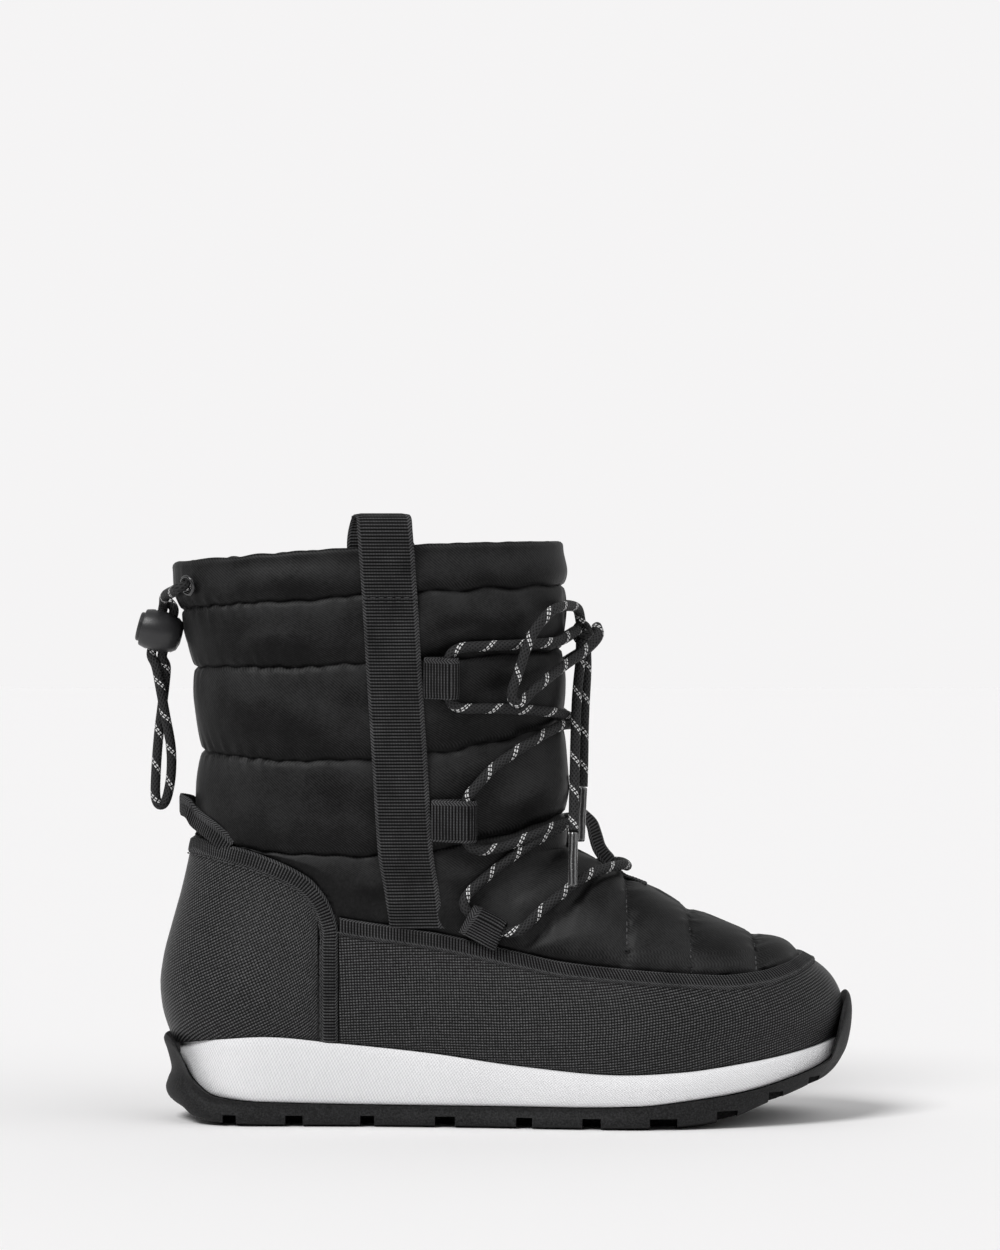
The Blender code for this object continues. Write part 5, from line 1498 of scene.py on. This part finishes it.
# Lace: a round braided cord of 4 mm with light flecks in its braid, tied in a bow over the shaft.
# It runs from the knot down through the keepers, crosses the front twice and turns under the front loop.
LACE_DARK = (0.002, 0.002, 0.0021)
LACE_LIGHT = (0.034, 0.034, 0.035)
FLECK_LIGHT = (0.82, 0.82, 0.82)
FLECK_EVERY = 0.0022  # along the cord
FLECK_TURN = 0.0138  # along the cord, for one turn of the light yarns round it
FLECK_PAIR = 0.05  # each of the two light yarns lies this far from their middle, in turns
FLECK_HALF = 0.027  # half the width of a light yarn, in turns
FLECK_LONG = 0.62  # share of the distance between flecks
BRAID_YARNS = 8.0  # of each set, in one turn
TUBE_STEPS = 20  # corners of a cord's section
BEND_SOFTER = 10  # rounds of smoothing along a cord


def make_braid(name, radius):
    """Braided cord: two sets of slanting yarns, and two light yarns that come up in short flecks."""
    look, tree, shader = start_material(name, LACE_DARK, 0.62)
    shader.inputs["Specular IOR Level"].default_value = 0.2
    lengths = split_lengths(tree)
    along = calculate(tree, "DIVIDE", lengths["X"], FLECK_EVERY)
    turn = calculate(tree, "DIVIDE", lengths["Y"], 2 * math.pi * radius * MM)
    waves = []
    for way in (1.0, -1.0):
        yarn = calculate(tree, "MULTIPLY_ADD", turn, BRAID_YARNS * way, along)
        waves.append(calculate(tree, "SINE", calculate(tree, "MULTIPLY", yarn, 2 * math.pi)))
    weave = calculate(tree, "MULTIPLY_ADD", calculate(tree, "MAXIMUM", *waves), 0.5, 0.5)
    colour = shade_between(tree, weave, LACE_DARK, LACE_LIGHT)
    wound = calculate(tree, "MULTIPLY", along, FLECK_EVERY / FLECK_TURN)
    place = calculate(tree, "FRACT", calculate(tree, "ADD", turn, wound))
    apart = calculate(tree, "ABSOLUTE", calculate(tree, "SUBTRACT", place, 0.5))
    from_yarn = calculate(tree, "ABSOLUTE", calculate(tree, "SUBTRACT", apart, FLECK_PAIR))
    narrow = calculate(tree, "LESS_THAN", from_yarn, FLECK_HALF)
    staggered = calculate(tree, "MULTIPLY_ADD", turn, -4.0, along)
    short = calculate(tree, "LESS_THAN", calculate(tree, "FRACT", staggered), FLECK_LONG)
    fleck = tree.nodes.new("ShaderNodeMix")
    fleck.data_type = "RGBA"
    fleck.inputs["B"].default_value = (*FLECK_LIGHT, 1.0)
    tree.links.new(colour, fleck.inputs["A"])
    tree.links.new(calculate(tree, "MULTIPLY", narrow, short), fleck.inputs["Factor"])
    tree.links.new(fleck.outputs["Result"], shader.inputs["Base Color"])
    raise_surface(tree, shader, weave, 0.0004, 0.8)
    return look


def draw_cord(name, points, radius, look, node, step=0.8):
    """A round cord along a smooth curve; gives the piece and the points that it follows."""
    path = resample(points, step)
    for _ in range(BEND_SOFTER):
        path[1:-1] = (path[:-2] + 2 * path[1:-1] + path[2:]) / 4
    along = unit(np.gradient(path, axis=0))
    right = np.cross(along[0], (0.3, 0.2, 0.9))
    turns = full_turn(TUBE_STEPS)
    loops = []
    for point, ahead in zip(path, along):
        right = unit(right - ahead * np.dot(right, ahead))
        up = np.cross(ahead, right)
        loops.append(point + radius * (np.cos(turns)[:, None] * right + np.sin(turns)[:, None] * up))
    piece = loft(name, loops, look)
    if node:
        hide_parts(node)
    return piece, path * MM


lace_cord = make_braid("lace_cord", LACE_RADIUS)
LACE_OUT = PUFF + 2 * GAP + LACE_RADIUS  # over the padding
IN_KEEPER = KEEPER_OUT + KEEPER_FOLD  # inside a folded keeper
ON_GUIDE = LACE_RADIUS + GUIDE_THICK + 7 * GAP  # over the webbing on the vamp

# One strand in side view, from the knot down: own 1 is its own side, own 0 the front, and it changes
# sides at each crossing. A row with no distance out is a pass through the keeper numbered by its x.
LACE = table(
    "x z own out",
    (21.5, 194.2, 1, LACE_OUT),
    (12.0, 193.4, 1, LACE_OUT),
    (-6.0, 192.8, 1, LACE_OUT),
    (-18.4, 192.2, 1, IN_KEEPER),
    (0, 0, 1, 0),
    (-18.4, 168.2, 1, IN_KEEPER),
    (-6.0, 167.8, 1, LACE_OUT),
    (10.0, 166.6, 1, LACE_OUT),
    (21.5, 164.6, 1, LACE_OUT),
    (60.0, 162.0, 0, LACE_OUT),
    (21.5, 159.6, -1, LACE_OUT),
    (10.0, 154.0, -1, LACE_OUT),
    (-4.0, 145.0, -1, LACE_OUT),
    (-12.4, 136.6, -1, IN_KEEPER),
    (1, 0, -1, 0),
    (-11.4, 111.8, -1, IN_KEEPER),
    (-2.0, 112.4, -1, LACE_OUT),
    (11.0, 116.8, -1, LACE_OUT),
    (22.0, 120.4, -1, LACE_OUT),
    (60.0, 121.5, 0, LACE_OUT),
    (22.0, 119.2, 1, LACE_OUT),
    (12.0, 114.6, 1, LACE_OUT),
    (0.0, 106.4, 1, LACE_OUT),
    (-9.6, 98.4, 1, LACE_OUT),
    (-17.0, 90.6, 1, IN_KEEPER),
    (2, 0, 1, 0),
    (5.8, 77.6, 1, IN_KEEPER),
    (12.0, 83.4, 1, LACE_OUT),
    (22.0, 90.6, 1, LACE_OUT),
    (33.0, 96.6, 1, LACE_OUT),
    (45.4, 98.6, 1, ON_GUIDE),
    (60.0, 97.0, 0, ON_GUIDE),
)
STRANDS_APART = 1.0
LACE_TOP = (28.8, 6.0, 198.2)  # where each strand goes into the knot


def over_skin(x, z, side, out):
    """The point over the skin whose own place along the boot is x."""
    base = x
    for _ in range(8):
        point = on_skin(base, z, side, out)[0]
        base += x - point[0]
    return point


def through_keeper(number, side):
    """Three points of the lace inside a keeper's fold, from its upper end to its lower one."""
    x, z, turn, long = (column[number] for column in KEEPERS.values())
    ahead, across = keeper_axes(turn)
    half = KEEPER_WIDE / 2 + GAP
    places = [np.array([x, z]) + ahead * fold_middle(long) + across * wide for wide in (half, 0.0, -half)]
    return [on_skin(*place, side, IN_KEEPER)[0] for place in places]


def lace_strand(side):
    points = [np.array(LACE_TOP) * (1, side, 1)]
    for x, z, own, out in zip(*LACE.values()):
        here = side if own >= 0 else -side
        if out == 0:
            points += through_keeper(int(x), here)
        elif own == 0:
            points.append(on_skin(x, z - side * STRANDS_APART, here, out)[0])
        else:
            points.append(over_skin(x, z, here, out))
    return points


def run_lace():
    """The whole lace in one run: down one side, under the front loop and up the other."""
    one = lace_strand(LATERAL)
    other = lace_strand(MEDIAL)
    middle = (one[-1] + other[-1]) / 2
    points = one[:-1] + [middle] + other[-2::-1]
    draw_cord("lace", points, LACE_RADIUS, lace_cord, "lace_crossings")


run_lace()

# Bow: the knot, two loops and two loose ends of the lace, which hang by their own weight.
# Each end is pressed into a clear plastic tip.
KNOT_AT = np.array((30.8, 0.0, 197.0))
KNOT_HALF = np.array((4.8, 5.0, 5.4))
LOOP_OUT = LACE_OUT + 2 * LACE_RADIUS + 2 * GAP  # over the lace that crosses below
BOW_LOOP = table(
    "x y z out",
    (30.2, -3.4, 201.6, 0),
    (28.4, -8.6, 207.4, 0),
    (19.4, 0, 207.6, LOOP_OUT),
    (11.9, 0, 200.0, LOOP_OUT),
    (7.9, 0, 192.0, LOOP_OUT),
    (4.7, 0, 181.9, LOOP_OUT),
    (2.0, 0, 174.8, LOOP_OUT),
    (2.4, 0, 171.0, LOOP_OUT),
    (4.8, 0, 169.4, LOOP_OUT),
    (7.2, 0, 171.2, LOOP_OUT),
    (9.4, 0, 174.2, LOOP_OUT),
    (14.7, 0, 178.3, LOOP_OUT),
    (23.6, -24.0, 184.4, 0),
    (32.4, -14.0, 190.4, 0),
    (37.6, -8.2, 196.0, 0),
    (36.7, -3.4, 199.6, 0),
)
LACE_END_NEAR = table(
    "x y z",
    (30.2, -4.2, 193.3),
    (30.0, -8.6, 186.0),
    (29.2, -11.0, 179.0),
    (28.4, -14.0, 170.0),
    (27.8, -18.0, 155.0),
    (27.4, -23.0, 140.0),
    (27.0, -28.5, 127.0),
    (26.8, -33.0, 118.0),
)
LACE_END_FAR = table(
    "x y z",
    (32.5, 0.7, 190.9),
    (32.6, -2.0, 182.0),
    (31.8, -6.4, 168.0),
    (31.4, -7.8, 158.0),
    (31.2, -9.2, 146.0),
    (30.9, -11.2, 135.0),
)
TIP_LONG = 22.0
TIP_RADIUS = 1.9
TIP_DROP = {"near": (-0.02, -0.30, -0.95), "far": (-0.05, -0.22, -0.97)}
# The sleeve's dark base colour, and the light grey of its painted reflection streaks
TIP_DARK = (0.02, 0.02, 0.021)
TIP_PAINTED_GLINT = (0.2, 0.2, 0.2)
TIP_GLINT_STREAKS = 3.5  # sets how many painted reflection streaks, along the sleeve's folds, go round it in one turn
TIP_STEPS = 28
TIP_FLAT = 0.12  # share of its thickness that the middle is pressed flat
TIP_RINGS = ((0.0, 0.86), (0.015, 0.98), (0.05, 1.0), (0.5, 0.97), (0.95, 1.0), (0.985, 0.96), (1.0, 0.8))
KNOT_STEPS = 26


def make_tip():
    look, tree, shader = start_material("clear_tip", TIP_DARK, 0.14)
    shader.inputs["Coat Weight"].default_value = 0.8
    shader.inputs["Coat Roughness"].default_value = 0.06
    grain = add_grain(tree, 0.0011, 0.004)
    # Painted reflection: light streaks round the clear sleeve stand in for the bright room glinting off its
    # folds.
    turn = calculate(tree, "MULTIPLY", split_lengths(tree)["Y"], TIP_GLINT_STREAKS / (TIP_RADIUS * MM))
    glint_turn = calculate(tree, "MULTIPLY_ADD", grain.outputs["Shade"], 3.0, turn)
    painted_glint = calculate(tree, "POWER", calculate(tree, "ABSOLUTE", calculate(tree, "SINE", glint_turn)), 7.0)
    paint(tree, shader, painted_glint, TIP_DARK, TIP_PAINTED_GLINT)
    raise_surface(tree, shader, grain.outputs["Height"], 0.0003, 0.5)
    return look


clear_tip = make_tip()


def wind_knot():
    """The knot: two turns of the lace wound round the middle, one over the other."""
    turns = np.linspace(0, 2 * math.pi, KNOT_STEPS)
    circle = np.stack([np.cos(turns), np.sin(turns), np.sin(turns)], axis=1)
    circle = circle * (KNOT_HALF - LACE_RADIUS * 0.97)
    for name, shares in (("turn", (1.0, 1.0, 0.42)), ("band", (0.8, 0.5, 1.0))):
        points = KNOT_AT + circle * shares
        piece, _ = draw_cord(f"knot_{name}", points, LACE_RADIUS, lace_cord, None, 0.5)
        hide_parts("lace_knot")


def press_tip(end, top):
    """The clear sleeve on a loose end, below the lace's last point."""
    drop = np.array(TIP_DROP[end])
    right = unit(np.cross(drop, (0.0, 1.0, 0.0)))
    up = np.cross(drop, right)
    turns = full_turn(TIP_STEPS)
    loops = []
    for share, wide in TIP_RINGS:
        middle = top + drop * (2 * GAP + TIP_LONG * share)
        flat = 1 - TIP_FLAT * math.sin(math.pi * share)
        section = np.cos(turns)[:, None] * right + flat * np.sin(turns)[:, None] * up
        loops.append(middle + TIP_RADIUS * wide * section)
    tip = loft(f"bow_tip_{end}", loops, clear_tip)
    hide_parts(f"lace_tip_{end}")
    return tip


def tie_bow():
    for side in (LATERAL, MEDIAL):
        points = []
        for x, y, z, out in zip(*BOW_LOOP.values()):
            points.append(over_skin(x, z, side, out) if out else np.array([x, y * -side, z]))
        name = f"loop_{SIDE_NAMES[side]}"
        piece, path = draw_cord(f"bow_{name}", points, LACE_RADIUS, lace_cord, f"lace_{name}")
    for end, rows in (("near", LACE_END_NEAR), ("far", LACE_END_FAR)):
        points = np.stack(list(rows.values()), axis=1)
        name = f"end_{end}"
        piece, path = draw_cord(f"bow_{name}", points, LACE_RADIUS, lace_cord, f"lace_{name}")
        press_tip(end, points[-1])


wind_knot()
tie_bow()

# Drawcord: an elastic cord in the collar's channel that comes out of an eyelet on each side of the heel.
# Both runs go through a moulded lock with a sprung button, and hang below it as a loop.
EYELET_X = -125.2
EYELET_Z = 217.2
EYELET_MAJOR = 3.5
EYELET_MINOR = 0.85
EYELET_STEPS = (56, 14)  # round the ring, and round its section
DRAWCORD_RADIUS = 2.0
LOCK_AT = (-141.2, 0.0, 197.6)
LOCK_TILT = 14.5  # the button end is raised by this angle
CORDS_APART = 2.25
CORDS_IN = 1.3
CORD_PASS = (10.4, 5.0, -5.0, -10.4)  # places of a cord along the lock's slot
BARREL = table(
    "radius along",
    (0.0, -7.9),
    (5.5, -7.9),
    (5.5, 3.3),
    (6.3, 3.3),
    (6.3, 6.6),
    (6.55, 7.05),
    (6.9, 7.2),
    (7.3, 7.05),
    (7.55, 6.6),
    (8.1, 4.6),
    (8.5, 2.0),
    (8.6, -1.0),
    (8.3, -3.6),
    (7.5, -6.1),
    (5.9, -8.3),
    (3.4, -9.2),
    (0.0, -9.4),
)
PLUNGER = table(
    "radius along",
    (0.0, 8.6),
    (2.4, 8.62),
    (2.7, 8.35),
    (3.0, 8.35),
    (3.3, 8.66),
    (5.1, 8.9),
    (5.6, 8.75),
    (5.95, 8.2),
    (5.95, 5.9),
    (5.15, 5.9),
    (5.15, -5.2),
    (0.0, -5.2),
)
SLOT_HALF = 2.45
BARREL_SLOT = (-6.3, 3.6)
PLUNGER_SLOT = (-20.0, 6.2)
LOCK_STEPS = 64
PLASTIC_DARK = (0.016, 0.016, 0.017)
PLASTIC_LIGHT = (0.035, 0.035, 0.037)
ENAMEL_DARK = (0.012, 0.012, 0.0125)
ENAMEL_WORN = (0.09, 0.09, 0.095)


def make_plastic():
    look, tree, shader = start_material("moulded_plastic", PLASTIC_DARK, 0.4)
    grain = add_grain(tree, 0.0006, 0.008)
    paint(tree, shader, grain.outputs["Shade"], PLASTIC_DARK, PLASTIC_LIGHT)
    roughen(tree, shader, grain.outputs["Height"], 0.2, 0.28)
    raise_surface(tree, shader, grain.outputs["Height"], 0.00012, 0.5)
    return look


def make_enamel():
    look, tree, shader = start_material("black_metal", ENAMEL_DARK, 0.25)
    shader.inputs["Coat Weight"].default_value = 0.5
    grain = add_grain(tree, 0.0009, 0.003)
    worn = calculate(tree, "POWER", grain.outputs["Shade"], 4.0)
    paint(tree, shader, worn, ENAMEL_DARK, ENAMEL_WORN)
    roughen(tree, shader, grain.outputs["Shade"], 0.25, 0.12)
    return look


moulded_plastic = make_plastic()
black_enamel = make_enamel()


def set_eyelet(side):
    """A pressed metal ring, as one loop of small sections."""
    middle, normal = on_skin(EYELET_X, EYELET_Z, side, PUFF + GAP + EYELET_MINOR)
    right = unit(np.cross(normal, (0.0, 0.0, 1.0)))
    up = np.cross(normal, right)
    round_ring, section = (full_turn(steps) for steps in EYELET_STEPS)
    reach = EYELET_MAJOR + EYELET_MINOR * np.cos(section)
    loops = []
    for turn in round_ring:
        out = math.cos(turn) * right + math.sin(turn) * up
        loops.append(middle + reach[:, None] * out + EYELET_MINOR * np.sin(section)[:, None] * normal)
    ring = loft(f"collar_eyelet_{SIDE_NAMES[side]}", loops, black_enamel, closed=True)
    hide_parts(f"eyelet_{SIDE_NAMES[side]}")


def lock_place(along, up, y):
    """A place in the cord lock: along its axis to the button, along its slot, and across."""
    tilt = math.radians(LOCK_TILT)
    axis = np.array([-math.cos(tilt), 0.0, math.sin(tilt)])
    slot = np.array([math.sin(tilt), 0.0, math.cos(tilt)])
    return np.array(LOCK_AT) + axis * along + slot * up + np.array([0.0, y, 0.0])


def turn_lock_piece(name, rows, slot, body, node):
    """A turned section of the lock with its slot cut through."""
    shape = bmesh.new()
    circle = [(math.cos(turn), math.sin(turn)) for turn in full_turn(LOCK_STEPS)]
    rings = []
    for radius, along in zip(*rows.values()):
        places = [(radius * up, radius * y) for up, y in circle] if radius else [(0.0, 0.0)]
        rings.append([shape.verts.new(lock_place(along, up, y) * MM) for up, y in places])
    for near, far in zip(rings, rings[1:]):
        for k in range(LOCK_STEPS):
            following = (k + 1) % LOCK_STEPS
            if len(near) == 1:
                shape.faces.new((near[0], far[following], far[k]))
            elif len(far) == 1:
                shape.faces.new((near[k], near[following], far[0]))
            else:
                shape.faces.new((near[k], near[following], far[following], far[k]))
    bmesh.ops.recalc_face_normals(shape, faces=shape.faces)
    mesh = bpy.data.meshes.new(name)
    shape.to_mesh(mesh)
    shape.free()
    piece = add_piece(name, mesh, moulded_plastic, body)
    cutter = bmesh.new()
    heights = (-CUTTER_TALL, CUTTER_TALL)
    corners = [(along, up, y) for along in slot for up in heights for y in (-SLOT_HALF, SLOT_HALF)]
    points = [cutter.verts.new(lock_place(*corner) * MM) for corner in corners]
    for face in ((0, 1, 3, 2), (4, 6, 7, 5), (0, 4, 5, 1), (2, 3, 7, 6), (0, 2, 6, 4), (1, 5, 7, 3)):
        cutter.faces.new([points[i] for i in face])
    bmesh.ops.recalc_face_normals(cutter, faces=cutter.faces)
    cut_away(piece, cutter, f"{name}_slot")
    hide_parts(node)
    return piece


DRAW_TOP = table("x y z", (-133.6, 24.0, 214.6), (-137.4, 14.0, 212.8), (-139.0, 5.0, 210.8))
DRAW_TAIL = table(
    "x y z",
    (-142.6, -1.2, 184.0),
    (-140.6, -2.3, 174.0),
    (-138.6, -2.3, 163.0),
    (-136.4, -1.2, 150.0),
    (-136.6, 0.0, 138.0),
    (-138.6, 0.0, 128.6),
    (-141.0, 0.0, 126.4),
    (-142.8, 0.0, 130.0),
    (-142.6, 1.0, 142.0),
    (-141.6, 2.2, 156.0),
    (-140.4, 2.3, 166.0),
    (-139.2, 2.2, 176.0),
    (-138.6, 1.2, 184.0),
)


def thread_drawcord():
    runs = []
    for side in (LATERAL, MEDIAL):
        leaving = (PUFF + 3 * GAP, PUFF + 3 * DRAWCORD_RADIUS)
        run = [on_skin(EYELET_X, EYELET_Z, side, out)[0] for out in leaving]
        run += [np.array([x, side * y, z]) for x, y, z in zip(*DRAW_TOP.values())]
        run += [lock_place(-CORDS_IN - side * CORDS_APART, up, 0.0) for up in CORD_PASS]
        runs.append(run)
    tail = list(np.stack(list(DRAW_TAIL.values()), axis=1))
    look = make_braid("drawcord_braid", DRAWCORD_RADIUS)
    points = runs[0] + tail + runs[1][::-1]
    piece, path = draw_cord("elastic_drawcord", points, DRAWCORD_RADIUS, look, "drawcord", 0.6)
    barrel = turn_lock_piece("lock_barrel", BARREL, BARREL_SLOT, "boot", "cord_lock_barrel")
    turn_lock_piece("lock_button", PLUNGER, PLUNGER_SLOT, "button", "cord_lock_plunger")


for this_side in SIDE_NAMES:
    set_eyelet(this_side)
thread_drawcord()

# Floor and light: a pale studio table under two broad lamps, the stronger one high on the left in front
# and the weaker one on the right. Soft light comes from all round, more of it from behind the boot.
FLOOR_HALF = 6.0
SKY_LIGHT = 0.33
SKY_BACK = 0.26  # added straight behind the boot, and taken off straight in front
SKY_SEEN = (0.913, 0.905, 0.908)  # the backdrop as the camera sees it, brighter than the light it gives
LAMPS = table("x y z strength width", (0.42, 0.50, -0.757, 2.0, 26.0), (-0.6, 0.3, -0.74, 0.65, 60.0))

FLOOR_LIT = SKY_LIGHT - float(np.sum(LAMPS["strength"] * LAMPS["z"])) / math.pi
FLOOR_PALE = tuple(shade / FLOOR_LIT for shade in SKY_SEEN)  # it looks as bright as the backdrop


def lay_floor():
    look, tree, shader = start_material("pale_table", FLOOR_PALE, 0.9)
    shader.inputs["Specular IOR Level"].default_value = 0.0
    grain = add_grain(tree, 0.003, 0.6)
    paler = tuple(value * 1.01 for value in FLOOR_PALE)
    paint(tree, shader, grain.outputs["Shade"], FLOOR_PALE, paler)
    mesh = bpy.data.meshes.new("table_top")
    corners = [(-1, -1), (1, -1), (1, 1), (-1, 1)]
    mesh.from_pydata([(x * FLOOR_HALF, y * FLOOR_HALF, 0.0) for x, y in corners], [], [(0, 1, 2, 3)])
    mesh.materials.append(look)
    table_top = bpy.data.objects.new("table_top", mesh)
    bpy.context.scene.collection.objects.link(table_top)


def set_light():
    world = bpy.data.worlds.new("studio")
    world.use_nodes = True
    bpy.context.scene.world = world
    tree = world.node_tree
    lit = tree.nodes["Background"]
    lit.inputs["Color"].default_value = (1.0, 1.0, 1.0, 1.0)
    way = split_place(tree, "ShaderNodeTexCoord", "Generated")
    strength = calculate(tree, "MULTIPLY_ADD", way["Y"], SKY_BACK, SKY_LIGHT)
    tree.links.new(strength, lit.inputs["Strength"])
    seen = tree.nodes.new("ShaderNodeBackground")
    seen.inputs["Color"].default_value = (*SKY_SEEN, 1.0)
    ray = tree.nodes.new("ShaderNodeLightPath")
    mix = tree.nodes.new("ShaderNodeMixShader")
    tree.links.new(ray.outputs["Is Camera Ray"], mix.inputs[0])
    tree.links.new(lit.outputs[0], mix.inputs[1])
    tree.links.new(seen.outputs[0], mix.inputs[2])
    tree.links.new(mix.outputs[0], tree.nodes["World Output"].inputs["Surface"])
    for number, (x, y, z, strength, width) in enumerate(zip(*LAMPS.values())):
        lamp = bpy.data.lights.new(f"lamp_{number}", "SUN")
        lamp.energy = strength
        lamp.angle = math.radians(width)
        holder = bpy.data.objects.new(f"lamp_{number}", lamp)
        holder.rotation_euler = Vector((x, y, z)).to_track_quat("-Z", "Y").to_euler()
        bpy.context.scene.collection.objects.link(holder)


lay_floor()
set_light()

# Camera: level with the collar and straight at the outer side, as in the photograph.
CAMERA_AT = (-0.0026, -2.0, 0.2327)
CAMERA_LENS = 141.5
CAMERA_SHIFT = -0.064
CAMERA_SENSOR = 36.0
CAMERA_FAR = 50.0


def set_camera():
    view = bpy.data.cameras.new("camera")
    view.lens = CAMERA_LENS
    view.sensor_width = CAMERA_SENSOR
    view.shift_y = CAMERA_SHIFT
    view.clip_end = CAMERA_FAR
    holder = bpy.data.objects.new("camera", view)
    holder.location = CAMERA_AT
    holder.rotation_euler = (math.radians(90), 0.0, 0.0)
    bpy.context.scene.collection.objects.link(holder)
    bpy.context.scene.camera = holder
    bpy.context.scene.view_settings.view_transform = "Standard"


set_camera()
